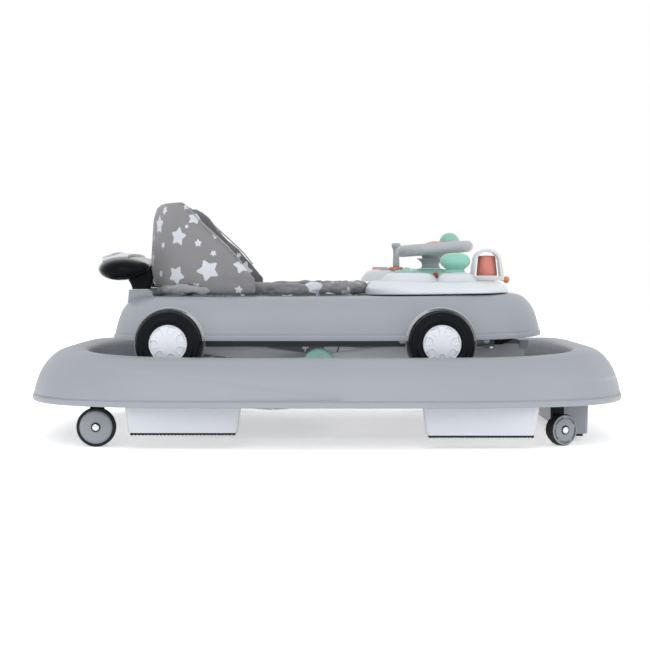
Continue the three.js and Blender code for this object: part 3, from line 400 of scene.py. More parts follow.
def loft(name, rings, look, closed=False, caps=True, smooth_below=38.0):
    """Skins rings of equally many points; the stack closes on itself or is capped."""
    count = len(rings[0])
    points = [p for ring in rings for p in ring]
    faces = []
    total = len(rings)
    for i in range(total if closed else total - 1):
        a = i * count
        b = (i + 1) % total * count
        for j in range(count):
            k = (j + 1) % count
            faces.append((a + j, a + k, b + k, b + j))
    if not closed and caps:
        faces.append(tuple(range(count)))
        faces.append(tuple(range((total - 1) * count, total * count)))
    return make(name, points, faces, look, smooth_below)


def place_matrix(centre, direction):
    """Turns +Z to a direction and moves the origin to a centre."""
    turn = Vector(direction).normalized().to_track_quat("Z", "Y").to_matrix().to_4x4()
    return Matrix.Translation(centre) @ turn


def lathe(name, profile, look, centre, direction=(0, 0, 1), segments=64, smooth_below=38.0):
    """A turned piece: profile is [radius, height] in mm, about an axis through centre."""
    where = place_matrix(centre, direction)
    points = []
    for radius, height in profile:
        for i in range(segments):
            t = i / segments * math.tau
            points.append(where @ Vector((radius * MM * math.cos(t), radius * MM * math.sin(t),
                                          height * MM)))
    faces = []
    for i in range(len(profile) - 1):
        a = i * segments
        b = a + segments
        for j in range(segments):
            k = (j + 1) % segments
            faces.append((a + j, a + k, b + k, b + j))
    made = make(name, points, faces, look, smooth_below)
    mesh = bmesh.new()
    mesh.from_mesh(made.data)
    bmesh.ops.holes_fill(mesh, edges=[e for e in mesh.edges if e.is_boundary], sides=0)
    mesh.to_mesh(made.data)
    mesh.free()
    clean(made, smooth_below)
    return made


def arc(cx, cy, r, start, end, steps):
    """Profile points on an arc, angles in degrees."""
    return [(cx + r * math.cos(math.radians(start + (end - start) * i / steps)),
             cy + r * math.sin(math.radians(start + (end - start) * i / steps)))
            for i in range(steps + 1)]


def superellipse(t, a, b, power):
    c, s, e = math.cos(t), math.sin(t), 2 / power
    return (a * math.copysign(abs(c) ** e, c), b * math.copysign(abs(s) ** e, s))


def even_angles(count, outline):
    """Angles that spread points evenly round a closed outline(angle)."""
    fine = 2880
    lengths = [0.0]
    last = outline(0)
    for i in range(1, fine + 1):
        now = outline(i / fine * math.tau)
        lengths.append(lengths[-1] + math.dist(last, now))
        last = now
    angles = []
    i = 0
    for n in range(count):
        wanted = n / count * lengths[-1]
        while lengths[i + 1] < wanted:
            i += 1
        share = (wanted - lengths[i]) / (lengths[i + 1] - lengths[i])
        angles.append((i + share) / fine * math.tau)
    return angles


def spline(points, per_span):
    """Catmull-Rom curve through points of any dimension."""
    out = []
    ends = [points[0], *points, points[-1]]
    for i in range(1, len(ends) - 2):
        p0, p1, p2, p3 = (Vector(ends[i + d]) for d in (-1, 0, 1, 2))
        for n in range(per_span):
            t = n / per_span
            out.append(tuple(0.5 * (2 * p1 + (p2 - p0) * t
                                    + (2 * p0 - 5 * p1 + 4 * p2 - p3) * t * t
                                    + (3 * p1 - p0 - 3 * p2 + p3) * t ** 3)))
    out.append(tuple(points[-1]))
    return out


def rounded_block(name, low, high, look, corner, taper=0.0, edge=1.5 * MM, steps=6):
    """A box with round upright corners, tapering downwards, with soft edges."""
    cx, cy = (low[0] + high[0]) / 2, (low[1] + high[1]) / 2
    rings = []
    levels = [(high[2], 0), (low[2] + edge, taper), (low[2] + edge * 0.3, taper + edge * 0.3),
              (low[2], taper + edge)]
    for z, inset in levels:
        hx = (high[0] - low[0]) / 2 - inset
        hy = (high[1] - low[1]) / 2 - min(inset, taper * 0.3 + edge)
        r = min(corner, hx, hy)
        ring = []
        for qx, qy, start in ((1, 1, 0), (-1, 1, 90), (-1, -1, 180), (1, -1, 270)):
            for i in range(steps + 1):
                t = math.radians(start + 90 * i / steps)
                ring.append((cx + qx * (hx - r) + r * math.cos(t),
                             cy + qy * (hy - r) + r * math.sin(t), z))
        rings.append(ring)
    return loft(name, rings, look)


def smoothstep(low, high, x):
    t = max(0.0, min(1.0, (x - low) / (high - low)))
    return t * t * (3 - 2 * t)


def settle(piece, body, slot, *nodes):
    """Puts a finished piece on its body, in place of CAD nodes; slot is not used."""
    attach(piece, body)
    if nodes:
        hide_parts(*nodes)
    return piece


# ---------- camera, floor and light ----------

CAMERA_BACK = 2.3
CAMERA_HEIGHT = 0.2
FOCAL_PX = 0.7896 * 2300
IMAGE_PX = 650
HORIZON_PX = 269.4
MIDDLE_X_PX = 327.0
SENSOR_MM = 36.0


def make_camera():
    data = bpy.data.cameras.new("camera")
    data.sensor_width = SENSOR_MM
    data.lens = SENSOR_MM * FOCAL_PX / IMAGE_PX
    data.clip_end = 20.0
    made = bpy.data.objects.new("camera", data)
    bpy.context.scene.collection.objects.link(made)
    pitch = math.atan((IMAGE_PX / 2 - HORIZON_PX) / FOCAL_PX)
    yaw = math.atan((MIDDLE_X_PX - IMAGE_PX / 2) / FOCAL_PX)
    made.location = (0, -CAMERA_BACK, CAMERA_HEIGHT)
    made.rotation_euler = (math.pi / 2 - pitch, 0, yaw)
    bpy.context.scene.camera = made


def area_light(name, location, target, size, power, size_y=None):
    data = bpy.data.lights.new(name, "AREA")
    data.energy = power
    data.size = size
    if size_y:
        data.shape = "RECTANGLE"
        data.size_y = size_y
    made = bpy.data.objects.new(name, data)
    bpy.context.scene.collection.objects.link(made)
    made.location = location
    aim = Vector(target) - Vector(location)
    made.rotation_euler = aim.to_track_quat("-Z", "Y").to_euler()
    return made


def make_studio():
    look, tree, shader = material("studio_floor")
    where = node(tree, "ShaderNodeTexCoord").outputs["Object"]
    link(tree, mixed(tree, noise_node(tree, where, 3.0), (0.93, 0.93, 0.935), (0.95, 0.95, 0.95)),
         shader.inputs["Base Color"])
    shader.inputs["Roughness"].default_value = 0.75
    shader.inputs["Emission Color"].default_value = (1, 1, 1, 1)
    shader.inputs["Emission Strength"].default_value = 0.45
    half = 6.0
    floor = make("studio_floor", [(-half, -half, 0), (half, -half, 0), (half, half, 0),
                                  (-half, half, 0)], [(0, 1, 2, 3)], look)
    world = bpy.data.worlds.new("studio")
    world.use_nodes = True
    world.node_tree.nodes["Background"].inputs[0].default_value = (1, 1, 1, 1)
    world.node_tree.nodes["Background"].inputs[1].default_value = 1.0
    bpy.context.scene.world = world
    area_light("key_light", (-0.7, -2.1, 1.5), (0, 0, 0.1), 1.4, 11)
    area_light("fill_light", (1.7, -1.4, 1.1), (0, 0, 0.1), 1.2, 4)
    bpy.context.scene.view_settings.view_transform = "Standard"


# ---------- base ring ----------

BASE_LOW, BASE_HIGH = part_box("base_shell")
BASE_A = BASE_HIGH.x
BASE_B = BASE_HIGH.y
BASE_POWER = 4.0
OPENING_POWER = 5.5
RING_REAR = 71 * MM
RING_FRONT = 63 * MM
RING_SIDE = 52 * MM
OPENING_A = BASE_A - (RING_REAR + RING_FRONT) / 2
OPENING_B = BASE_B - RING_SIDE
OPENING_X = (RING_REAR - RING_FRONT) / 2
LIP_Z = BASE_LOW.z
END_RISE = 7 * MM
CREST_Z = BASE_HIGH.z - END_RISE
INNER_WALL_Z = 56 * MM


def crease_line(x):
    """Height of the styling crease on the base's side, or None where there is none."""
    if x < 0.02:
        share = (x + 0.30) / 0.32
        return 0.094 - 0.036 * share ** 1.15 if 0 < share < 1 else None
    if x > 0.2:
        share = (x - 0.2) / 0.15
        return 0.08 - 0.006 * share if 0 < share < 1 else None
    return None


def base_profile():
    """[share of ring width, height above the lip in mm], from the lip up and over."""
    height = (CREST_Z - LIP_Z) / MM
    lip = [(0.035, 0), (0.012, 0.6), (0.0, 2.2), (0.0, 5.2), (0.006, 6.3), (0.03, 7.0),
           (0.034, 7.6), (0.024, 8.6)]
    dome = spline([(0.024, 8.6), (0.055, 16), (0.12, height * 0.5), (0.205, height * 0.67),
                   (0.31, height * 0.81), (0.45, height * 0.93), (0.62, height * 0.99),
                   (0.78, height * 1.0), (0.9, height * 0.985)], 5)
    rim = [(0.94, height * 0.972), (0.965, height * 0.95), (0.98, height * 0.91),
           (0.985, height * 0.8), (0.995, height * 0.5), (1.0, 9.0), (0.998, 7.6), (0.955, 7.6),
           (0.95, 9)]
    back = spline([(0.94, height * 0.85), (0.88, height * 0.92), (0.62, height * 0.93),
                   (0.45, height * 0.87), (0.25, height * 0.65), (0.12, height * 0.35),
                   (0.085, 9)], 2)
    return lip + dome[1:] + rim + back + [(0.08, 1.0), (0.07, 0)]


def make_base():
    profile = base_profile()
    rings = []
    for t in even_angles(224, lambda t: superellipse(t, BASE_A, BASE_B, BASE_POWER)):
        ox, oy = superellipse(t, BASE_A, BASE_B, BASE_POWER)
        ix, iy = superellipse(t, OPENING_A, OPENING_B, OPENING_POWER)
        ix += OPENING_X
        rise = END_RISE * (abs(ox) / BASE_A) ** 4
        line = crease_line(ox)
        ring = []
        for n, (u, h) in enumerate(profile):
            z = LIP_Z + h * MM
            z += rise * max(0.0, z - INNER_WALL_Z) / (CREST_Z - INNER_WALL_Z)
            x, y = ox + (ix - ox) * u, oy + (iy - oy) * u
            if line is not None and 7 < n < 40 and abs(y) > 0.15:
                below = line - z
                dent = 0.0016 * smoothstep(-0.0012, 0.0012, below)
                dent *= 1 - smoothstep(0.004, 0.03, below)
                x, y = x + (ix - ox) * dent / RING_SIDE, y + (iy - oy) * dent / RING_SIDE
            ring.append((x, y, z))
        rings.append(ring)
    base = loft("base_ring", rings, GREY, closed=True, smooth_below=42)
    settle(base, "base", "grey_plastic", "base_shell")


def make_stoppers():
    for end in ENDS:
        for name, _ in SIDES:
            low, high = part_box(f"stopper_{end}_{name}")
            block = rounded_block(f"stopper_block_{end}_{name}", low, high, BLOCK_WHITE, 5 * MM,
                                  4.5 * MM, 1.2 * MM)
            settle(block, "base", "white_plastic", f"stopper_{end}_{name}")
            low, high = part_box(f"stopper_pad_{end}_{name}")
            settle(ribbed_pad(f"rubber_pad_{end}_{name}", low, high), "base", "black_rubber",
                   f"stopper_pad_{end}_{name}")
    # The cross block takes the base's grey instead of the stoppers' white: painted shade for its
    # place set back under the base's overhang.
    low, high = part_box("stopper_cross")
    settle(rounded_block("cross_block", low, high, GREY, 4 * MM, 1.5 * MM, 1.5 * MM), "base",
           "grey_plastic", "stopper_cross")
    low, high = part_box("stopper_pad_cross")
    settle(ribbed_pad("rubber_pad_cross", low, high), "base", "black_rubber",
           "stopper_pad_cross")


def ribbed_pad(name, low, high):
    """Rubber strip whose underside has cross ribs."""
    long_x = high.x - low.x > high.y - low.y
    start, end = (low.x, high.x) if long_x else (low.y, high.y)
    other_low, other_high = (low.y, high.y) if long_x else (low.x, high.x)
    count = max(8, round((end - start) / (4 * MM)))
    rings = []
    for i in range(count * 2 + 1):
        along = start + (end - start) * i / (count * 2)
        depth = 0.0 if i % 2 else 0.8 * MM
        square = [(other_low, high.z), (other_high, high.z), (other_high, low.z + depth),
                  (other_low, low.z + depth)]
        rings.append([(along, o, z) if long_x else (o, along, z) for o, z in square])
    return loft(name, rings, RUBBER, smooth_below=20)


# ---------- castors ----------

def castor_axle(end, name):
    """The castor wheel's centre and outward axle direction, from its roll joint."""
    joint = next(j for j in frame["joints"] if j["name"] == f"castor_roll_{end}_{name}")
    return Vector(joint["pos_m"]), Vector(joint["axis"])


def make_castors():
    for end in ENDS:
        for name, _ in SIDES:
            centre, outward = castor_axle(end, name)
            tyre_r = centre.z / MM
            hub_r = (16.9 if end == "front" else 18.6)
            body = f"castor_wheel_{end}_{name}"
            half = 5.5
            face = 8.75
            back = face - 2 * half
            groove = [(tyre_r, back + 4.6), (tyre_r - 0.7, back + 5.0),
                      (tyre_r - 0.7, back + 6.0), (tyre_r, back + 6.4)]
            profile = ([(hub_r + 0.3, back), (tyre_r - 2.2, back)]
                       + arc(tyre_r - 2.0, back + 2.0, 2.0, -90, 0, 5) + groove
                       + arc(tyre_r - 2.0, face - 2.0, 2.0, 0, 90, 5)
                       + [(hub_r + 0.3, face - 0.2), (hub_r + 0.3, back)])
            tyre = lathe(f"castor_rubber_{end}_{name}", profile, RUBBER, centre, outward, 72)
            settle(tyre, body, "black_rubber", f"castor_tyre_{end}_{name}")
            if end == "front":
                hub_profile = [(0, face + 0.6), (12.2, face + 0.8), (13.0, face + 0.4),
                               (13.2, face - 1.4), (15.0, face - 1.6), (15.4, face + 0.6),
                               (16.4, face + 0.9), (16.9, face + 0.3), (16.9, back + 0.4),
                               (0, back + 0.4)]
            else:
                hub_profile = [(0, face + 0.5), (15.6, face + 0.6), (16.8, face + 0.5),
                               (17.2, face + 0.1), (18.0, face - 0.2), (18.6, face - 0.6),
                               (18.6, back + 0.4), (0, back + 0.4)]
            parts = [lathe("hub_disc", hub_profile, MID_GREY, centre, outward, 72)]
            if end == "front":
                parts += rim_slots(centre, outward, 14.1, face - 1.2)
            hub = join(f"castor_disc_{end}_{name}", parts)
            settle(hub, body, "hub_grey", f"castor_hub_{end}_{name}")
            ring = lathe(f"castor_washer_{end}_{name}", [(3.9, face + 0.4), (3.9, face + 1.3),
                         (5.0, face + 1.3), (5.4, face + 0.5)], BLACK, centre, outward, 40)
            settle(ring, body, "hub_grey")
            cap = lathe(f"castor_cap_{end}_{name}", [(4.1, face + 0.6), (4.1, face + 1.2)]
                        + [(4.1 * math.cos(math.radians(a)), face + 1.2
                            + 1.7 * math.sin(math.radians(a))) for a in range(10, 90, 10)]
                        + [(0.02, face + 2.9)], CHROME, centre, outward, 40)
            settle(cap, body, "hub_grey")
            frame["nodes"][f"castor_fork_{end}_{name}"].data.materials.clear()
            frame["nodes"][f"castor_fork_{end}_{name}"].data.materials.append(BLACK)


def rim_slots(centre, outward, radius, height):
    """Small raised bridges across the hub's groove."""
    where = place_matrix(centre, outward)
    parts = []
    for i in range(5):
        turn = where @ Matrix.Rotation(i * math.tau / 5 + 0.3, 4, "Z")
        size = Vector((2.4, 5.0, 2.0)) * MM
        corners = [turn @ Vector((radius * MM + sx * size.x / 2, sy * size.y / 2,
                                  height * MM + sz * size.z / 2))
                   for sx in (-1, 1) for sy in (-1, 1) for sz in (-1, 1)]
        faces = [(0, 1, 3, 2), (4, 6, 7, 5), (0, 4, 5, 1), (2, 3, 7, 6), (0, 2, 6, 4),
                 (1, 5, 7, 3)]
        parts.append(make("bridge", corners, faces, MID_GREY))
    return parts


# ---------- folding frames ----------

def recolor(name, look):
    """Gives a CAD node that keeps its own shape a finished material."""
    data = frame["nodes"][name].data
    data.materials.clear()
    data.materials.append(look)


def soft_copy(name, source, look, width=0.7 * MM):
    """A copy of a CAD solid with its edges rounded over."""
    data = frame["nodes"][source].data.copy()
    data.name = name
    data.materials.clear()
    data.materials.append(look)
    made = bpy.data.objects.new(name, data)
    bpy.context.scene.collection.objects.link(made)
    mesh = bmesh.new()
    mesh.from_mesh(made.data)
    bmesh.ops.remove_doubles(mesh, verts=mesh.verts, dist=1e-5)
    bmesh.ops.dissolve_limit(mesh, angle_limit=math.radians(1.0), verts=mesh.verts,
                             edges=mesh.edges)
    mesh.to_mesh(made.data)
    mesh.free()
    return bevel(made, width, 2, 30.0, 34)


def make_frames():
    settle(soft_copy("outer_frame_bars", "frame_outer", FRAME_PAINT), "outer_frame",
           "painted_frame", "frame_outer")
    settle(soft_copy("inner_frame_bars", "frame_inner", FRAME_PAINT), "inner_frame",
           "painted_frame", "frame_inner")
    for name, side in SIDES:
        # The rails take the near-black grey: painted shade in the gap under the body.
        recolor(f"base_rail_{name}", PAINTED_SHADE_GREY)
        recolor(f"tray_rail_{name}", PAINTED_SHADE_GREY)
        low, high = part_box(f"pivot_cap_{name}")
        radius = (high.z - low.z) / 2 / MM
        centre = Vector(((low.x + high.x) / 2, 0, (low.z + high.z) / 2))
        outer = max(abs(low.y), abs(high.y)) / MM
        profile = [(5, outer - 15), (5, outer - 6), (radius, outer - 6), (radius, outer - 1.6),
                   (radius - 0.6, outer - 0.6), (radius - 1.8, outer - 0.1),
                   (radius - 3.4, outer), (radius - 4.2, outer - 0.9), (6.2, outer - 0.5),
                   (5.4, outer), (3.2, outer), (2.8, outer - 1.2), (0.02, outer - 1.2)]
        cap = lathe(f"pivot_disc_{name}", profile, PALE_MINT, centre, (0, side, 0), 64)
        settle(cap, "outer_frame", "mint_plastic", f"pivot_cap_{name}")


# ---------- car body ----------

BODY_X = 2 * MM
BODY_A = 258 * MM
BODY_B = 225 * MM
REAR_POWER = 6.0
FRONT_POWER = 4.4
BODY_BOTTOM = 118 * MM
BODY_TOP = 167.8 * MM
HOOD_START = 40 * MM
HOOD_RISE = 3.5 * MM
NOSE_LIFT = 4 * MM
SEAT_X = -65 * MM
SEAT_A = 106 * MM
SEAT_B = 130 * MM
ROAD_WHEELS = [j for j in frame["joints"] if j["name"].startswith("road_wheel_spin")]
ARCH_R = 39.6 * MM


def deck_rise(x):
    """How far the deck has climbed towards the nose."""
    return HOOD_RISE * max(0.0, (x - HOOD_START) / (BODY_X + BODY_A - HOOD_START))


def body_outline(t, a=BODY_A, b=BODY_B):
    return superellipse(t, a, b, FRONT_POWER if math.cos(t) > 0 else REAR_POWER)


def body_point(t, inset, z):
    x, y = body_outline(t, BODY_A - inset, BODY_B - inset)
    share = max(0.0, (z - BODY_BOTTOM) / (BODY_TOP - BODY_BOTTOM))
    lift = NOSE_LIFT * max(0.0, x / BODY_A) ** 4
    return (x + BODY_X, y, z + lift * (1 - share) + deck_rise(x + BODY_X) * share)


def body_rings(count):
    angles = even_angles(count, body_outline)
    height = (BODY_TOP - BODY_BOTTOM) / MM
    side = [(0.8, 0), (0.1, 0.4), (0, 1.2), (0, 4.2), (0.3, 5.2), (1.6, 5.8), (1.9, 6.4),
            (1.6, 7.4)]
    side += spline([(1.6, 7.4), (3.4, height * 0.3), (6.2, height * 0.5), (10.2, height * 0.68),
                    (15.5, height * 0.83), (21.5, height * 0.935), (26.5, height * 0.98),
                    (31, height)], 4)[1:]
    rings = [[body_point(t, inset * MM, BODY_BOTTOM + h * MM) for t in angles]
             for inset, h in side]
    edge = rings[-1]
    seat = []
    for t in angles:
        x, y = body_outline(t, 1, 1)
        around = math.atan2(y * SEAT_B, (x * BODY_A * 0.75) or 1e-9)
        sx, sy = math.cos(around), math.sin(around)
        seat.append((SEAT_X + SEAT_A * sx, SEAT_B * sy,
                     BODY_TOP + deck_rise(SEAT_X + SEAT_A * sx)))
    for share in (0.1, 0.3, 0.55, 0.8, 0.97, 1.0):
        rings.append([tuple(Vector(a).lerp(Vector(b), share)) for a, b in zip(edge, seat)])
    for drop, inward in ((0.8, 0.995), (3.0, 0.985), (9.0, 0.985)):
        rings.append([(SEAT_X + (x - SEAT_X) * inward, y * inward, z - drop * MM)
                      for x, y, z in seat])
    return rings


def make_body():
    shell = loft("car_body_shell", body_rings(200), BODY_GREY, caps=False, smooth_below=50)
    walls = shell.modifiers.new("walls", "SOLIDIFY")
    walls.thickness = 2.6 * MM
    walls.offset = -1
    apply_modifiers(shell, 50)
    for joint in ROAD_WHEELS:
        x, y, z = joint["pos_m"]
        side = math.copysign(1, y)
        tool = lathe("arch_tool", [(0.02, -40), (ARCH_R / MM, -40), (ARCH_R / MM, 60),
                                   (0.02, 60)], BODY_GREY,
                     (x, side * 0.225, z), (0, side, 0), 96)
        cut(shell, tool, smooth_below=50)
    settle(shell, "car_body", "grey_plastic", "body_shell")
    for joint in ROAD_WHEELS:
        make_arch(joint)


def side_surface_y(x, z):
    """How far out the body's side stands at a place along and up it."""
    height = BODY_TOP - BODY_BOTTOM
    share = max(0.0, (z - BODY_BOTTOM) / height)
    inset = (1.6 + 3 * share + 12.5 * share ** 2.6) * MM
    a, b = BODY_A - inset, BODY_B - inset
    power = FRONT_POWER if x > BODY_X else REAR_POWER
    return b * max(0.0, 1 - (abs(x - BODY_X) / a) ** power) ** (1 / power)


def make_arch(joint):
    """The raised lip round a wheel arch, and the well that closes it inside."""
    x0, y0, z0 = joint["pos_m"]
    side = math.copysign(1, y0)
    tag = joint["name"].replace("road_wheel_spin_", "")
    steps = 60
    start = math.asin((BODY_BOTTOM - z0) / ARCH_R)
    rings = []
    for i in range(steps + 1):
        t = start + (math.pi - 2 * start) * i / steps
        ring = []
        for dr, out in ((-1.2, -12), (-1.2, 0.9), (-0.6, 1.4), (1.4, 1.4), (2.1, 0.8),
                        (2.6, -0.8), (2.6, -3), (0.6, -12)):
            r = ARCH_R + (dr - 0.4) * MM
            x, z = x0 + r * math.cos(t), z0 + r * math.sin(t)
            ring.append((x, side * (side_surface_y(x, z) + out * MM), z))
        rings.append(ring)
    lip = loft(f"arch_lip_{tag}", rings, PALE_GREY)
    settle(lip, "car_body", "grey_plastic")
    back = 207.5
    radius = ARCH_R / MM
    well = lathe(f"wheel_well_{tag}", [(6.5, back), (radius + 1.2, back), (radius + 1.2, back + 9),
                                       (radius, back + 9), (radius, back + 1.5),
                                       (6.5, back + 1.5)],
                 MID_GREY, (x0, 0, z0), (0, side, 0), 72)
    settle(well, "car_body", "grey_plastic")


def make_road_wheels():
    for joint in ROAD_WHEELS:
        tag = joint["name"].replace("road_wheel_spin_", "")
        low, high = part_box(f"road_tyre_{tag}")
        side = 1 if high.y > 0 else -1
        radius = (high.z - low.z) / 2 / MM - 0.7
        inner = min(abs(low.y), abs(high.y)) / MM
        outer = max(abs(low.y), abs(high.y)) / MM
        centre = (joint["pos_m"][0], 0, joint["pos_m"][2])
        hub = 22.2
        wall = ([(radius - 4, inner), (radius - 1.2, inner + 1)]
                + arc(radius - 3.2, inner + 4.2, 3.2, -50, 0, 4)
                + [(radius, outer - 9), (radius - 0.8, outer - 8.6), (radius - 0.8, outer - 7.6),
                   (radius, outer - 7.2)]
                + arc(radius - 5.5, outer - 5.4, 5.5, 0, 62, 8))
        face = [(radius - 5.0, outer - 1.0), (radius - 6.2, outer - 1.3),
                (radius - 7.0, outer - 1.0), (radius - 7.8, outer - 0.2),
                (radius - 9.2, outer), (radius - 11, outer - 0.7), (hub + 2.4, outer - 1.6),
                (hub + 0.9, outer - 2.0), (hub, outer - 3.2), (hub, inner)]
        tyre = lathe(f"toy_tyre_{tag}", wall + face + [(radius - 4, inner)], TYRE, centre,
                     (0, side, 0), 96)
        settle(tyre, f"road_wheel_{tag}", "gloss_black", f"road_tyre_{tag}")
        cap = hubcap(f"toy_hubcap_{tag}", centre, side, inner, outer, tag.startswith("front"))
        settle(cap, f"road_wheel_{tag}", "white_plastic", f"road_hubcap_{tag}")


HUBCAP_R = 21.9
NOTCHES = 7


def hubcap(name, centre, side, inner, outer, front):
    """White hubcap whose face has seven U-shaped pads round its rim."""
    where = place_matrix(centre, (0, side, 0))
    turn = 0.22 if front else 0.0
    around = 196
    radii = [0.02, 2, 4, 5.5, 6.5, 7.5, 8.5, 9.5, 10.3, 11, 11.6, 12.2, 12.8, 13.4, 14, 14.6,
             15.2, 15.8, 16.4, 17, 17.6, 18.2, 18.8, 19.3, 19.7, 20.1, 20.5, 21.0, 21.5,
             HUBCAP_R]
    rings = []
    for r in radii:
        ring = []
        for i in range(around):
            t = i / around * math.tau
            sector = (t + turn) % (math.tau / NOTCHES) - math.pi / NOTCHES
            along, aside = r * math.cos(sector), r * math.sin(sector)
            pad = (abs(aside) if along > 15.2 else math.hypot(along - 15.2, aside)) - 4.1
            height = 1.6 * (1 - (r / HUBCAP_R) ** 2)
            if r < 20.0:
                height -= 0.75 * (1 - smoothstep(-0.7, -0.1, pad))
                height += 0.4 * math.exp(-((pad - 0.25) / 0.45) ** 2)
            if 19.2 < r < 20.3:
                height -= 0.8 * (1 - smoothstep(-0.6, 0.4, pad))
            height += 0.7 * smoothstep(20.2, 20.7, r) - 1.3 * smoothstep(21.3, HUBCAP_R, r)
            ring.append(where @ Vector((r * MM * math.cos(t), r * MM * math.sin(t),
                                        (outer - 1.9 + height) * MM)))
        rings.append(ring)
    edge = [where @ Vector((HUBCAP_R * MM * math.cos(i / around * math.tau),
                            HUBCAP_R * MM * math.sin(i / around * math.tau), (inner + 2) * MM))
            for i in range(around)]
    return loft(name, rings + [edge], CAP_WHITE, smooth_below=48)


# ---------- push handle ----------

HANDLE_X = -238 * MM
HANDLE_Z = 198 * MM
HANDLE_CHORD = 31 * MM
HANDLE_DEPTH = 13.8 * MM
HANDLE_ARCH = 6 * MM
HANDLE_BOW = 14 * MM


def make_handle():
    half_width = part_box("handle_bar")[1].y
    steps = 64
    rings = []
    for i in range(steps + 1):
        share = math.sin((i / steps * 2 - 1) * math.pi / 2)
        shrink = max(0.02, (1 - abs(share) ** 14) ** 0.5)
        middle = 1 - share ** 2
        ring = []
        for j in range(48):
            t = j / 48 * math.tau
            c, s = math.cos(t), math.sin(t)
            thick = HANDLE_DEPTH * (1.0 - 0.12 * c) * (1 if s > 0 else 0.96)
            ring.append((HANDLE_X - HANDLE_BOW * middle + HANDLE_CHORD * shrink * c,
                         half_width * share,
                         HANDLE_Z + HANDLE_ARCH * middle + thick * shrink * s + 1.2 * MM * c))
        rings.append(ring)
    bar = loft("push_handle_wing", rings, BLACK_GLOSS, smooth_below=70)
    settle(bar, "car_body", "gloss_black", "handle_bar")
    for name, _ in SIDES:
        low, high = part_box(f"handle_stem_{name}")
        cy = (low.y + high.y) / 2
        levels = spline([(-233.5, -212.5, low.z / MM), (-236, -209.5, low.z / MM + 7),
                         (-242, -208.6, low.z / MM + 16), (-251, -211, low.z / MM + 25)], 4)
        rings = []
        for x0, x1, z in levels:
            mx, hx = (x0 + x1) / 2 * MM, (x1 - x0) / 2 * MM
            rings.append([(mx + px, cy + py, z * MM) for px, py in
                          (superellipse(k / 40 * math.tau, hx, 11 * MM, 3.4)
                           for k in range(40))])
        stem = loft(f"handle_post_{name}", rings, BLACK_GLOSS, smooth_below=60)
        settle(stem, "car_body", "gloss_black", f"handle_stem_{name}")
        make_socket(name, cy)
    make_handle_panel()


def make_socket(name, cy):
    """The block on the rear deck that holds a handle post, with a braced front."""
    low_z, top_z = BODY_TOP - 9 * MM, 175.7 * MM
    outline = [(-236.5, top_z / MM), (-212, top_z / MM), (-209, top_z / MM - 2),
               (-206, low_z / MM + 4), (-200, low_z / MM), (-238, low_z / MM)]
    points = []
    for y in (cy - 14 * MM, cy + 14 * MM):
        points += [(x * MM, y, z * MM) for x, z in outline]
    count = len(outline)
    faces = [tuple(range(count)), tuple(range(count, 2 * count))]
    faces += [(i, (i + 1) % count, count + (i + 1) % count, count + i) for i in range(count)]
    socket = bevel(make(f"handle_socket_{name}", points, faces, BODY_GREY), 1.2 * MM, 3)
    settle(socket, "car_body", "grey_plastic")


def make_handle_panel():
    """The light cover over the wing's top, with a grey strip along its rear edge."""
    low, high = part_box("handle_panel")
    for name, look, x0, x1, rise in (("handle_panel_cover", WHITE, low.x, high.x, 2.6),
                                     ("handle_panel_strip", PALE_GREY, low.x, low.x + 0.012, 4.2)):
        rings = []
        for i in range(41):
            y = high.y * (i / 20 - 1) * (1 if look is WHITE else 0.96)
            share = y / 0.15
            middle = 1 - share ** 2
            edge = smoothstep(1.0, 0.93, abs(i / 20 - 1))
            ring = []
            for x in (x0, (x0 + x1) / 2, x1):
                across = (x - HANDLE_X + HANDLE_BOW * middle) / HANDLE_CHORD
                wing = HANDLE_Z + HANDLE_ARCH * middle
                wing += HANDLE_DEPTH * max(0.0, 1 - min(1, abs(across)) ** 2) ** 0.5
                ring.append((x, y, min(high.z, max(wing + 0.2 * MM, 0.2115) + rise * MM
                                       * (0.5 + 0.5 * edge))))
            ring += [(x1, y, ring[2][2] - 3.4 * MM), (x0, y, 0.2095)]
            rings.append(ring)
        panel = bevel(loft(name, rings, look, smooth_below=30), 0.6 * MM, 2)
        if look is WHITE:
            settle(panel, "car_body", "white_plastic", "handle_panel")
        else:
            settle(panel, "car_body", "white_plastic")


# ---------- seat ----------

def cloth_uv(made, mapping, period=None):
    """Writes the UV map cloth, in metres; period closes a map that goes all round."""
    data = made.data
    layer = data.uv_layers.get("cloth") or data.uv_layers.new(name="cloth")
    uv = [mapping(v.co) for v in data.vertices]
    for face in data.polygons:
        values = [uv[data.loops[i].vertex_index] for i in face.loop_indices]
        top = max(u for u, _ in values)
        for i, (u, v) in zip(face.loop_indices, values):
            if period and top - u > period / 2:
                u += period
            layer.data[i].uv = (u, v)


def puff(made, pressure, cap, frames=20, voxel=5 * MM):
    """Fills a closed padded form by a short cloth simulation, then smooths it."""
    remesh = made.modifiers.new("remesh", "REMESH")
    remesh.mode = "VOXEL"
    remesh.voxel_size = voxel
    remesh.use_smooth_shade = True
    apply_modifiers(made, 180)
    rest = [v.co.copy() for v in made.data.vertices]
    cloth = made.modifiers.new("cloth", "CLOTH")
    cloth.settings.use_pressure = True
    cloth.settings.uniform_pressure_force = pressure
    cloth.settings.effector_weights.gravity = 0
    cloth.settings.tension_stiffness = 12
    cloth.settings.bending_stiffness = 0.3
    cloth.point_cache.frame_start = 1
    cloth.point_cache.frame_end = frames
    for number in range(1, frames + 1):
        bpy.context.scene.frame_set(number)
    bpy.context.view_layer.update()
    view = made.evaluated_get(bpy.context.evaluated_depsgraph_get())
    moved = [v.co.copy() for v in view.data.vertices]
    made.modifiers.clear()
    bpy.context.scene.frame_set(1)
    for vertex, start, end in zip(made.data.vertices, rest, moved):
        shift = end - start
        if shift.length > cap:
            shift *= cap / shift.length
        vertex.co = start + shift
    return subdivide(made, 1, 180)


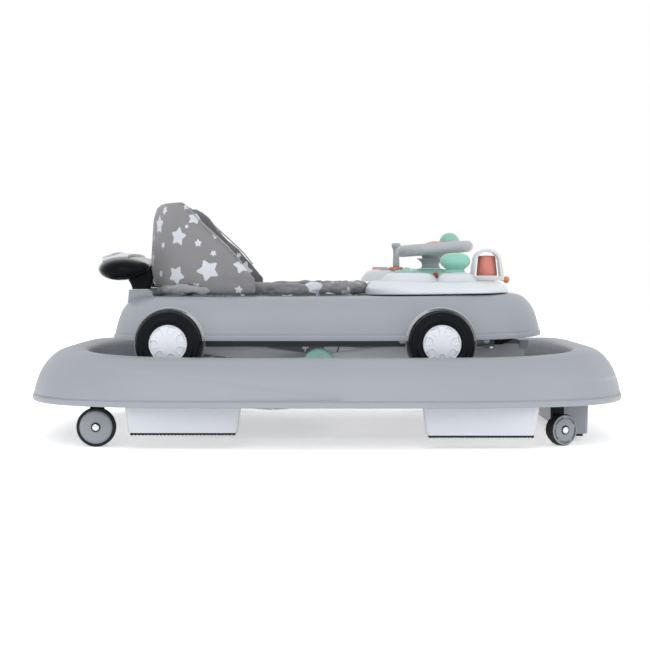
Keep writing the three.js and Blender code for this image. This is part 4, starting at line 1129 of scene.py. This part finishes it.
def wrinkle(made, size, depth, seed, where=None):
    """Lays soft creases over a cloth form, along its normals."""
    offset = Vector((seed * 3.7, seed * 1.3, seed * 2.1))
    data = made.data
    moves = []
    for vertex in data.vertices:
        p = vertex.co / size + offset
        fold = 1 - abs(noise.noise(Vector((p.x, p.y, p.z * 2.2))) * 2.0)
        soft = noise.noise(p * 0.45)
        share = where(vertex.co) if where else 1.0
        moves.append(vertex.normal * ((fold - 0.6) * 0.6 + soft * 0.8) * depth * share)
    for vertex, move in zip(data.vertices, moves):
        vertex.co += move


BACK_LOW, BACK_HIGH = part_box("seat_back")
BACK_HALF = BACK_HIGH.y
BACK_FRONT = BACK_HIGH.x
BACK_DEPTH = BACK_HIGH.x - BACK_LOW.x
BACK_FOOT = BACK_LOW.z
BACK_THICK = 12 * MM
# Height of the back's top edge against its place along the seat, in millimetres.
BACK_EDGE = ((-230, 284), (-178, 283.5), (-168, 277), (-162, 272.5), (-154.7, 263),
             (-133.5, 244), (-114.6, 226.5), (-102.8, 212), (-91, 199), (-84, 189))


def back_path(steps=72, inset=0.0):
    """Plan of the seat back from its right front end round behind to its left."""
    path = []
    for i in range(steps + 1):
        t = math.pi * 1.5 - math.pi * i / steps
        cx, cy = superellipse(t, 1, 1, 3.0)
        path.append(Vector((BACK_FRONT + (BACK_DEPTH - inset) * cx, (BACK_HALF - inset) * cy, 0)))
    return path


def back_top(x):
    """Height of the back's top edge at a place along the seat."""
    for (x0, z0), (x1, z1) in zip(BACK_EDGE, BACK_EDGE[1:]):
        if x <= x1 * MM:
            share = max(0.0, (x / MM - x0) / (x1 - x0))
            return (z0 + (z1 - z0) * share) * MM
    return BACK_EDGE[-1][1] * MM


def make_seat_back():
    outer = back_path()
    inner = back_path(inset=BACK_THICK)
    rings = []
    edge = []
    for a, b in zip(outer, inner):
        behind = smoothstep(-0.140, -0.160, a.x)
        top = back_top(a.x)
        foot = BACK_FOOT + 0.8 * MM + behind * 9 * MM
        lean = 2 * MM * behind
        middle = foot + (top - foot) * 0.35
        ring = []
        for z, out in ((foot, -2), (foot + (top - foot) * 0.06, 0.5), (middle, 0),
                       (top - (top - foot) * 0.2, -0.8 - 2.2 * behind),
                       (top - (top - foot) * 0.06, -2.4 - 3.2 * behind)):
            p = a + (a - b).normalized() * out * MM
            ring.append((p.x, p.y, z))
        ring.append(((a.x + b.x) / 2 + lean, (a.y + b.y) / 2, top))
        for z in (top - (top - foot) * 0.06, top - (top - foot) * 0.2, middle,
                  foot + (top - foot) * 0.06, foot):
            ring.append((b.x + lean, b.y, z))
        rings.append(ring)
        side = (a - b).normalized()
        edge.append(Vector((a.x, a.y, top - 2.2 * MM)) - side * 1.5 * MM)
    back = loft("seat_back_cushion", rings, CLOTH, smooth_below=180)
    puff(back, 3.0, 3.5 * MM, voxel=4 * MM)
    wrinkle(back, 0.06, 1.0 * MM, 3)
    wrinkle(back, 0.02, 1.5 * MM, 5,
            lambda p: smoothstep(0.03, 0.0, p.z - BACK_FOOT) * 0.7
            + smoothstep(-0.125, -0.095, p.x) * 0.9)
    path = [(a + b) / 2 for a, b in zip(outer, inner)]
    lengths = [0.0]
    for a, b in zip(path, path[1:]):
        lengths.append(lengths[-1] + (b - a).length)
    cloth_uv_smooth(back, path, lengths)
    # The inward faces take the darker copy of the star cloth: painted shade.
    back.data.materials.append(PAINTED_SHADE_CLOTH)
    for face in back.data.polygons:
        near = min(range(len(path)), key=lambda n: (path[n] - Vector((face.center.x, face.center.y,
                                                                     0))).length)
        inward = (inner[near] - outer[near]).normalized()
        if Vector((face.center.x, face.center.y, 0)).dot(inward) > path[near].dot(inward) + 1 * MM:
            face.material_index = 1
    settle(back, "car_body", "star_fabric", "seat_back")
    for name, side in SIDES:
        front = [p for p in edge[1:-1] if p.x > -0.168 and p.y * side > 0]
        settle(cord(f"seat_back_piping_{name}", front, 0.8 * MM, BINDING), "car_body",
               "star_fabric")
        flank = [a for a in outer[1:-1] if a.x > -0.200 and a.y * side > 0]
        seam = [Vector((a.x, a.y - side * 0.4 * MM,
                        BACK_FOOT + 5 * MM + 7 * MM * smoothstep(-0.140, -0.160, a.x)))
                for a in flank]
        settle(cord(f"seat_back_seam_{name}", seam, 0.7 * MM, BINDING), "car_body",
               "star_fabric")
    make_back_roll()


SKIRT_X = -0.136
SKIRT_DEPTH = 0.070
SKIRT_HALF_WIDTH = 0.1505
SKIRT_Z = 0.1745
SKIRT_RADIUS = 6.5 * MM
SKIRT_RISE = 6.0 * MM


def make_back_roll():
    """The gathered skirt under the back, hanging over the rear of the deck."""
    rings = []
    count = 80
    for i in range(count + 1):
        t = math.pi * 1.5 - math.pi * i / count
        cx, cy = superellipse(t, 1, 1, 3.0)
        x = SKIRT_X + SKIRT_DEPTH * cx
        girth = 0.3 if i in (0, count) else 1.0
        slack = 2.6 * MM * math.exp(-((x + 0.172) / 0.016) ** 2)
        ring = []
        for j in range(14):
            v = j / 14 * math.tau
            reach = SKIRT_RADIUS * math.cos(v) * girth
            ring.append((SKIRT_X + (SKIRT_DEPTH + reach) * cx, (SKIRT_HALF_WIDTH + reach) * cy,
                         SKIRT_Z + slack + SKIRT_RISE * math.sin(v) * girth))
        rings.append(ring)
    roll = loft("seat_back_skirt", rings, BINDING, smooth_below=180)
    puff(roll, 2.0, 1.5 * MM, voxel=3.2 * MM)
    wrinkle(roll, 0.014, 1.9 * MM, 21)
    wrinkle(roll, 0.04, 1.2 * MM, 23)
    settle(roll, "car_body", "star_fabric")


def cord(name, path, radius, look, sides=8):
    """A round cord along a path of points."""
    rings = []
    for i, point in enumerate(path):
        ahead = path[min(i + 1, len(path) - 1)] - path[max(i - 1, 0)]
        where = place_matrix(point, ahead)
        rings.append([where @ Vector((radius * math.cos(v), radius * math.sin(v), 0))
                      for v in (k / sides * math.tau for k in range(sides))])
    return loft(name, rings, look, smooth_below=60)


def cloth_uv_smooth(made, path, lengths):
    """UV along a plan path: metres back from its right front end, and height."""
    spans = list(zip(path, path[1:], lengths))

    def mapping(p):
        best = None
        for a, b, start in spans:
            dx, dy = b.x - a.x, b.y - a.y
            size = dx * dx + dy * dy
            share = max(0.0, min(1.0, ((p.x - a.x) * dx + (p.y - a.y) * dy) / size))
            gap = (a.x + dx * share - p.x) ** 2 + (a.y + dy * share - p.y) ** 2
            if best is None or gap < best[0]:
                best = (gap, start + share * math.sqrt(size))
        return (best[1] - BACK_FRONT, p.z)

    cloth_uv(made, mapping)


def make_seat_rim():
    """Gathered cloth roll round the seat opening."""
    low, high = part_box("seat_rim")
    cx = (low.x + high.x) / 2
    tube = 8 * MM
    a, b = (high.x - low.x) / 2 - tube, high.y - tube
    rings = []
    turns = 150
    for i in range(turns):
        t = i / turns * math.tau
        ring = []
        for j in range(16):
            v = j / 16 * math.tau
            x, y = superellipse(t, a + tube * math.cos(v), b + tube * math.cos(v), 2.3)
            ring.append((cx + x, y, (low.z + high.z) / 2 + tube * math.sin(v)))
        rings.append(ring)
    rim = loft("seat_rim_roll", rings, CLOTH, closed=True, smooth_below=180)
    puff(rim, 2.0, 1.0 * MM, voxel=3.2 * MM)
    wrinkle(rim, 0.012, 2.6 * MM, 9)
    wrinkle(rim, 0.03, 2.6 * MM, 11)
    period = round(3.2 * (a + b) / (PRINT_WIDTH * MM)) * PRINT_WIDTH * MM

    def mapping(p):
        angle = math.atan2(p.y / b, (p.x - cx) / a)
        reach = math.hypot((p.x - cx) / a, p.y / b) - 1
        return ((angle / math.tau + 0.5) * period, 0.03 + p.z + reach * 0.05)

    cloth_uv(rim, mapping, period)
    settle(rim, "car_body", "star_fabric", "seat_rim")


LEG_HOLE_R = 30
LEG_HOLE_HALF_REACH = 60
LEG_HOLE_AHEAD = 0.07
LEG_HOLE_ASIDE = 0.04
LEG_HOLE_Z = 0.092


def make_sling():
    """The hanging seat: a cloth bucket with two leg holes cut in it."""
    low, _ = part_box("seat_sling")
    levels = spline([(96, 119, 167.5, 0), (93, 114, 150, 0), (90, 108, 130, 0),
                     (80, 92, 90, -1), (62, 70, 52, -2), (44, 48, 31, -3), (27, 31, 24.6, -4),
                     (8, 10, 24.3, -4), (0.5, 0.5, 24.3, -4)], 4)
    rings = []
    for a, b, z, shift in levels:
        ring = []
        for i in range(96):
            t = i / 96 * math.tau
            x, y = superellipse(t, max(0.4, a - 0.8) * MM, max(0.4, b - 0.8) * MM, 2.2)
            p = Vector((SEAT_X + shift * MM + x, y, max(z * MM, low.z)))
            sag = noise.noise(Vector((p.x * 22, p.y * 22, p.z * 14))) * 1.2 * MM
            pleat = math.sin(t * 26 + p.z * 30) * 0.7 * MM * smoothstep(0.06, 0.16, p.z)
            reach = Vector((x, y, 0))
            if reach.length > 4 * MM:
                p -= reach.normalized() * (0.9 * MM + sag + pleat)
            ring.append(tuple(p))
        rings.append(ring)
    # The sling is made in the darker copy of the star cloth: painted shade under the body.
    sling = loft("seat_sling_cloth", rings, PAINTED_SHADE_CLOTH, caps=False, smooth_below=180)
    walls = sling.modifiers.new("walls", "SOLIDIFY")
    walls.thickness = 2.0 * MM
    walls.offset = -1
    apply_modifiers(sling, 180)
    for _, side in SIDES:
        tool = lathe("leg_tool", [(0.02, -LEG_HOLE_HALF_REACH), (LEG_HOLE_R, -LEG_HOLE_HALF_REACH),
                                  (LEG_HOLE_R, LEG_HOLE_HALF_REACH), (0.02, LEG_HOLE_HALF_REACH)],
                     CLOTH, (SEAT_X + LEG_HOLE_AHEAD, side * LEG_HOLE_ASIDE, LEG_HOLE_Z),
                     (1, 0, 0), 64)
        cut(sling, tool, smooth_below=60)
    scale = round(0.72 / (PRINT_WIDTH * MM)) * PRINT_WIDTH * MM

    def mapping(p):
        angle = math.atan2(p.y, p.x - SEAT_X)
        reach = math.hypot(p.y, p.x - SEAT_X)
        return ((angle / math.tau + 0.5) * scale, p.z - reach * 0.4)

    cloth_uv(sling, mapping, scale)
    settle(sling, "car_body", "star_fabric", "seat_sling")


# ---------- toy tray ----------

TRAY_BASE = 169.4 * MM
TRAY_TOP = 186 * MM
TRAY_HALF_WIDTH = 189 * MM
TRAY_CORNER = 3.4
TRAY_X0 = 46 * MM
TRAY_X1 = 222 * MM
MOUND_TOP = 200.5 * MM


def make_tray():
    cx, a, b = (TRAY_X0 + TRAY_X1) / 2, (TRAY_X1 - TRAY_X0) / 2, TRAY_HALF_WIDTH
    angles = even_angles(180, lambda t: superellipse(t, a, b, TRAY_CORNER))
    base, top = TRAY_BASE / MM, TRAY_TOP / MM
    levels = [(2.2, base, 1), (0.9, base + 0.3, 1), (0.2, base + 1.1, 1)]
    levels += spline([(0.2, base + 1.1, 1), (0.3, base + 3.5, 0.9), (3, base + 8, 0.6),
                      (11, top - 5, 0.2), (22, top - 1.5, 0), (36, top, 0)], 5)[1:]
    rings = []
    for inset, z, follow in levels:
        ring = []
        for t in angles:
            x, y = superellipse(t, a - inset * 0.4 * MM, b - inset * MM, TRAY_CORNER)
            ring.append((cx + x, y, z * MM + follow * deck_rise(cx + x)))
        rings.append(ring)
    tray = loft("tray_moulding", rings, WHITE, smooth_below=50)
    reach = 15 * MM
    tool_rings = [[(SEAT_X + x, y, z) for x, y in
                   (superellipse(i / 120 * math.tau, SEAT_A + reach, SEAT_B + reach, 2.3)
                    for i in range(120))] for z in (0.1, 0.3)]
    cut(tray, loft("seat_tool", tool_rings, WHITE), smooth_below=50)
    settle(bevel(tray, 1.0 * MM, 3, 50, 50), "car_body", "white_plastic", "toy_tray")
    for name, side_sign in SIDES:
        for label, x, hx, hy in (("rear", 100, 33, 35), ("front", 157, 23.5, 31)):
            hill = bump_hill(f"tray_hill_{label}_{name}", x, side_sign * 92, hx, hy, 196)
            settle(hill, "car_body", "white_plastic")
    settle(bump_hill("tray_mound_left", 86, 96, 39, 45, MOUND_TOP / MM), "car_body",
           "white_plastic")


def bump_hill(name, x, y, a, b, top):
    """A rounded swelling on the tray; its plan middle, half sizes and top are in mm."""
    low = TRAY_TOP / MM - 1.5
    rise = top - low
    levels = spline([(1.08, low), (1.04, low + rise * 0.2), (0.98, low + rise * 0.45),
                     (0.9, low + rise * 0.7), (0.78, low + rise * 0.9), (0.62, low + rise * 0.98),
                     (0.4, top), (0.02, top)], 3)
    rings = [[((x + px) * MM, (y + py) * MM, z * MM) for px, py in
              (superellipse(i / 72 * math.tau, a * s, b * s, 2.5) for i in range(72))]
             for s, z in levels]
    return loft(name, rings, WHITE, smooth_below=60)


def make_deck():
    low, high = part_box("mint_deck")
    cx = (low.x + high.x) / 2
    r = (high.x - low.x) / 2 / MM
    z0, z1 = low.z / MM, high.z / MM
    profile = [(r, z0), (r, z0 + 1)] + spline([(r, z0 + 1), (r - 1.5, z1 - 11), (r - 6.5, z1 - 7),
                                               (r - 13, z1 - 3.4), (r - 18, z1 - 1.6),
                                               (r - 24, z1)], 4)[1:] + [(0.02, z1)]
    deck = lathe("mint_dash_disc", profile, MINT, (cx, 0, 0), (0, 0, 1), 96, 60)
    settle(deck, "car_body", "mint_plastic", "mint_deck")
    saddle_rings = []
    for i in range(25):
        share = i / 24 * 2 - 1
        y = share * 0.088
        drop = 4.5 * MM * abs(share) ** 3
        ring = []
        for dx, dz in ((-15, -9), (-13, -1), (-8, 0.6), (0, 1), (8, 0.6), (13, -1), (15, -9)):
            spread = 1 + 0.25 * math.cos(share * math.pi)
            ring.append((cx + dx * spread * MM, y, 192.4 * MM + dz * MM - drop))
        saddle_rings.append(ring)
    saddle = subdivide(loft("mint_saddle", saddle_rings, MINT, smooth_below=60), 1)
    settle(saddle, "car_body", "mint_plastic")
    settle(flower("mint_flower_right", 0.096, -0.086, 195.6 * MM, 14.5 * MM), "car_body",
           "mint_plastic")
    settle(flower("mint_flower_left", 0.106, 0.112, MOUND_TOP - 3 * MM, 12 * MM), "car_body",
           "mint_plastic")
    dot = lathe("wine_button", [(3.6, 0), (3.6, 1.6), (3.0, 2.6), (1.6, 3.2), (0.02, 3.4)],
                WINE, (0.1315, -0.0955, 0.1925), (0, -0.9, 0.45), 32)
    settle(dot, "car_body", "coral_plastic")
    plate = rounded_block("pink_plate", (0.060, 0.086, MOUND_TOP - 3 * MM),
                          (0.080, 0.116, MOUND_TOP + 2.6 * MM), PINK, 5 * MM, 0, 0.6 * MM)
    settle(plate, "car_body", "coral_plastic")
    disc = lathe("grey_dial", [(11, 0), (11, 2.6), (10, 3.6), (4, 3.9), (0.02, 3.9)], PALE_GREY,
                 (0.078, 0.074, MOUND_TOP - 2.4 * MM), (0, 0, 1), 64)
    settle(disc, "car_body", "grey_plastic")


def flower(name, x, y, z, radius):
    """A flat toy flower with five round petals and a raised eye."""
    rings = []
    for share, height in ((1.0, 0), (1.0, 2.0), (0.95, 3.0), (0.84, 3.6), (0.5, 3.3),
                          (0.38, 3.6), (0.3, 4.6), (0.15, 5.2), (0.02, 5.2)):
        ring = []
        for i in range(100):
            t = i / 100 * math.tau
            petal = 1 - 0.2 * (1 - abs(math.cos(2.5 * t)) ** 0.8) * smoothstep(0.35, 0.8, share)
            ring.append((x + radius * share * petal * math.cos(t),
                         y + radius * share * petal * math.sin(t), z + height * MM))
        rings.append(ring)
    return loft(name, rings, MINT, smooth_below=50)


STEERING = next(j for j in frame["joints"] if j["name"] == "steering_turn")
WHEEL_CENTRE = Vector(STEERING["pos_m"])
WHEEL_UP = Vector(STEERING["axis"]).normalized()
RIM_R = 41.5
RIM_TUBE = 7.3


def wheel_place():
    """Steering wheel space: +Z up its column, +X forward."""
    side = Vector((0, 1, 0))
    forward = side.cross(WHEEL_UP).normalized()
    turn = Matrix((forward, side, WHEEL_UP)).transposed().to_4x4()
    return Matrix.Translation(WHEEL_CENTRE) @ turn


def make_steering():
    where = wheel_place()
    rings = []
    for i in range(144):
        t = i / 144 * math.tau
        ring = []
        for j in range(28):
            v = j / 28 * math.tau
            tube = RIM_TUBE * (1 - 0.035 * max(0.0, math.cos(12 * t)) * (math.cos(v) > 0.2))
            r = RIM_R + tube * math.cos(v)
            ring.append(where @ (Vector((r * math.cos(t), r * math.sin(t), tube * math.sin(v)))
                                 * MM))
        rings.append(ring)
    rim = loft("rim", rings, PALE_GREY, closed=True, smooth_below=60)
    parts = [rim]
    for angle in (0, 120, 240):
        parts.append(spoke(where, math.radians(angle)))
    hub_profile = [(14, -12.2), (15.4, -12.0), (16.6, -10), (18.4, -4), (20.2, 0), (20.4, 1.8),
                   (19.6, 3.2), (17.6, 3.7), (16.4, 3.2), (16.2, 1.0), (16.2, -6.2), (0.02, -6.2)]
    parts.append(lathe("hub", hub_profile, PALE_GREY, WHEEL_CENTRE, WHEEL_UP, 72))
    wheel = join("toy_steering_wheel", parts)
    settle(wheel, "steering", "light_grey_plastic", "steering_wheel")
    horn_profile = [(0.02, -2.6), (15.7, -2.6), (15.7, 2.8), (15.0, 4.6), (13.2, 6.4),
                    (10.4, 7.9), (7, 9.0), (3.5, 9.5), (0.02, 9.6)]
    horn = lathe("coral_horn_button", horn_profile, CORAL, WHEEL_CENTRE, WHEEL_UP, 72, 50)
    settle(horn, "horn", "coral_plastic", "horn_button")
    low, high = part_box("steering_column")
    cx = (low.x + high.x) / 2
    z0, z1 = low.z / MM, high.z / MM
    column_profile = spline([(13.5, z0), (11.6, z0 + 1.8), (11.0, z0 + 4.5), (12.4, z1 - 2.5),
                             (15.2, z1 - 0.2), (17.2, z1 + 1.4)], 5)
    column_profile += [(17.6, z1 + 1.9), (16.6, z1 + 1.9), (14.5, z1), (0.02, z1)]
    column = lathe("wheel_column", column_profile, PALE_GREY, (cx, 0, 0), (0, 0, 1), 72, 50)
    settle(column, "car_body", "light_grey_plastic", "steering_column")


def spoke(where, angle):
    turn = where @ Matrix.Rotation(angle, 4, "Z")
    rings = []
    for x, half, top, bottom in ((15, 8.6, 2.4, -5.2), (22, 7.2, 2.2, -4.8), (30, 6.8, 2.4, -4.4),
                                 (38, 8.6, 3.0, -4.0)):
        ring = []
        for k in range(20):
            y, z = superellipse(k / 20 * math.tau, half, (top - bottom) / 2, 3)
            ring.append(turn @ (Vector((x, y, (top + bottom) / 2 + z)) * MM))
        rings.append(ring)
    return loft("spoke", rings, PALE_GREY, smooth_below=50)


def make_levers():
    low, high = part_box("gear_lever")
    cx, cy = (low.x + high.x) / 2, (low.y + high.y) / 2
    z0, z1 = low.z / MM, high.z / MM
    profile = ([(0.02, z0)] + arc(0, z0 + 4.6, 4.5, -70, 0, 6)
               + spline([(4.3, z0 + 10), (3.9, z1 - 12), (4.6, z1 - 8), (6.1, z1 - 4),
                         (5.4, z1 - 1)], 4) + [(3.4, z1 - 0.1), (0.02, z1)])
    lever = lathe("gear_stick", profile, PALE_GREY, (cx, cy, 0), (0, 0, 1), 40, 50)
    settle(lever, "gear", "dark_grey_plastic", "gear_lever")
    collar = lathe("coral_gear_ring", [(6.2, 0), (9.6, 0), (9.6, 2.2), (8.6, 3.6), (6.8, 3.8),
                                       (6.2, 3.0), (6.2, 0)], CORAL,
                   (cx, cy, MOUND_TOP - 1 * MM), (0, 0, 1), 48)
    settle(collar, "car_body", "coral_plastic")
    low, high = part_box("ball_lever")
    cx, cy = (low.x + high.x) / 2, (low.y + high.y) / 2
    z0, z1 = low.z / MM, high.z / MM
    stalk = lathe("ball_stalk", [(0.02, z0), (5, z0), (5, z0 + 2), (4.2, z0 + 6), (3.9, z1 - 15),
                                 (0.02, z1 - 15)], MID_GREY, (cx, cy, 0), (0, 0, 1), 40)
    ball = lathe("ball_top", [(0.02, z1 - 16.4), (8, z1 - 15.4), (11.6, z1 - 12.4)]
                 + arc(0, z1 - 13.4, 13.3, 12, 88, 14)[:-1] + [(0.02, z1 - 0.1)], MINT,
                 (cx, cy, 0), (0, 0, 1), 64, 60)
    band = lathe("ball_band", [(11.9, z1 - 13.2), (13.5, z1 - 12.6), (13.5, z1 - 10.8),
                               (12.8, z1 - 10.2), (11.9, z1 - 13.2)], PALE_GREY,
                 (cx, cy, 0), (0, 0, 1), 64)
    settle(join("mint_ball_on_stalk", [stalk, ball, band]), "ball", "mint_plastic",
           "ball_lever")
    low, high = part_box("mushroom_knob")
    cx, cy = (low.x + high.x) / 2, (low.y + high.y) / 2
    z0 = low.z / MM
    z1 = high.z / MM
    profile = ([(0.02, z0), (12.6, z0), (11.8, z0 + 1.4)]
               + spline([(11.0, z0 + 3.4), (13.2, z0 + 5.6), (16.8, z0 + 9), (18.4, z0 + 12.6),
                         (17.8, z0 + 17), (15, z0 + 20.6), (10, z1 - 1.1), (4, z1 - 0.1)], 5)
               + [(0.02, z1)])
    knob = lathe("mint_mushroom", profile, MINT, (cx, cy, 0), (0, 0, 1), 80, 50)
    settle(knob, "knob", "mint_plastic", "mushroom_knob")


def make_arch_toy():
    """The arched housing with its coral drum, and the bead on the tray's nose."""
    low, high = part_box("arch_housing")
    cx, cy = (low.x + high.x) / 2, (low.y + high.y) / 2
    hx, z0, z1 = (high.x - low.x) / 2, low.z, high.z
    spring = z1 - 16 * MM
    count = 26
    outer, inner = [], []
    for i in range(count + 1):
        t = math.pi * i / count
        outer.append((cx + hx * 0.84 * math.cos(t), spring + 16 * MM * math.sin(t)))
        inner.append((cx + (hx * 0.84 - 3.4 * MM) * math.cos(t), spring - 1.5 * MM
                      + 14 * MM * math.sin(t)))
    left_foot = [(cx - hx * 0.92, spring - 8 * MM), (cx - hx, z0)]
    right_foot = [(cx + hx, z0), (cx + hx * 0.92, spring - 8 * MM)]
    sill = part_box("arch_drum")[0].z - 0.5 * MM
    hole = [(cx + hx - 4.6 * MM, sill), *inner, (cx - hx + 4.6 * MM, sill)]
    outline = [*right_foot, *outer, *left_foot]
    body = extruded("arch_frame", outline, cy - 15 * MM, cy + 15 * MM, WHITE)
    tool = extruded("arch_hole", hole, cy - 40 * MM, cy + 40 * MM, WHITE)
    cut(body, tool, smooth_below=40)
    settle(bevel(body, 1.6 * MM, 4, 40, 44), "car_body", "white_plastic", "arch_housing")
    low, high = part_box("arch_drum")
    r, z0, z1 = (high.x - low.x) / 2 / MM, low.z / MM, high.z / MM
    drum = lathe("coral_drum", [(0.02, z0), (r - 0.8, z0), (r, z0 + 0.8), (r - 0.4, z0 + 6),
                                (r - 2.2, z1 - 1.4), (r - 3.2, z1 - 0.4), (0.02, z1)], CORAL,
                 (cx, cy, 0), (0, 0, 1), 64, 50)
    settle(drum, "drum", "coral_plastic", "arch_drum")
    low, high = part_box("orange_bead")
    centre = (low + high) / 2
    bead = lathe("orange_nose_bead", arc(0, 0, 4.35, -89, 89, 20), ORANGE, centre, (1, 0, 0), 40,
                 80)
    settle(bead, "car_body", "orange_plastic", "orange_bead")
    stem = lathe("bead_stem", [(0.02, 0), (1.6, 0), (1.6, 4), (0.02, 4)], MID_GREY,
                 (TRAY_X1 - 2 * MM, 0, centre.z), (1, 0, 0), 20)
    settle(stem, "car_body", "grey_plastic")


def extruded(name, outline, y0, y1, look):
    """An (x, z) outline drawn out along Y."""
    count = len(outline)
    points = [(x, y, z) for y in (y0, y1) for x, z in outline]
    faces = [tuple(range(count)), tuple(range(count, 2 * count))]
    faces += [(i, (i + 1) % count, count + (i + 1) % count, count + i) for i in range(count)]
    return make(name, points, faces, look)


# ---------- under the hood ----------

def make_adjuster():
    settle(soft_copy("height_adjuster", "adjuster_housing", PALE_GREY, 1.2 * MM), "car_body",
           "light_grey_plastic", "adjuster_housing")
    settle(soft_copy("red_release_lever", "release_lever", RED, 0.9 * MM), "release",
           "red_plastic", "release_lever")
    _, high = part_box("adjuster_housing")
    for name, side in SIDES:
        y = side * high.y
        screw = lathe(f"adjuster_screw_{name}",
                      [(2.4, 0), (2.4, 0.7), (1.8, 1.2), (0.02, 1.2)], CHROME,
                      (0.196, y, 0.1085), (0, side, 0), 32)
        settle(screw, "car_body", "hub_grey")
        wedge = [(0.1925, 0.1162), (0.2215, 0.1172), (0.2085, 0.1108), (0.1945, 0.1108)]
        stay = extruded(f"black_stay_{name}", wedge, y, y + side * 2.5 * MM, BLACK)
        settle(bevel(stay, 0.5 * MM, 2), "car_body", "grey_plastic")
        tip = rounded_block(f"adjuster_end_{name}",
                            (high.x - 11 * MM, min(y, y + side * 1.6 * MM), 0.1063),
                            (high.x - 0.5 * MM, max(y, y + side * 1.6 * MM), 0.1160), BODY_GREY,
                            0.7 * MM, 0, 0.4 * MM)
        settle(tip, "car_body", "light_grey_plastic")


# ---------- build ----------

make_camera()
make_studio()
make_base()
make_stoppers()
make_castors()
make_frames()
make_body()
make_road_wheels()
make_handle()
make_seat_back()
make_seat_rim()
make_sling()
make_tray()
make_deck()
make_steering()
make_levers()
make_arch_toy()
make_adjuster()
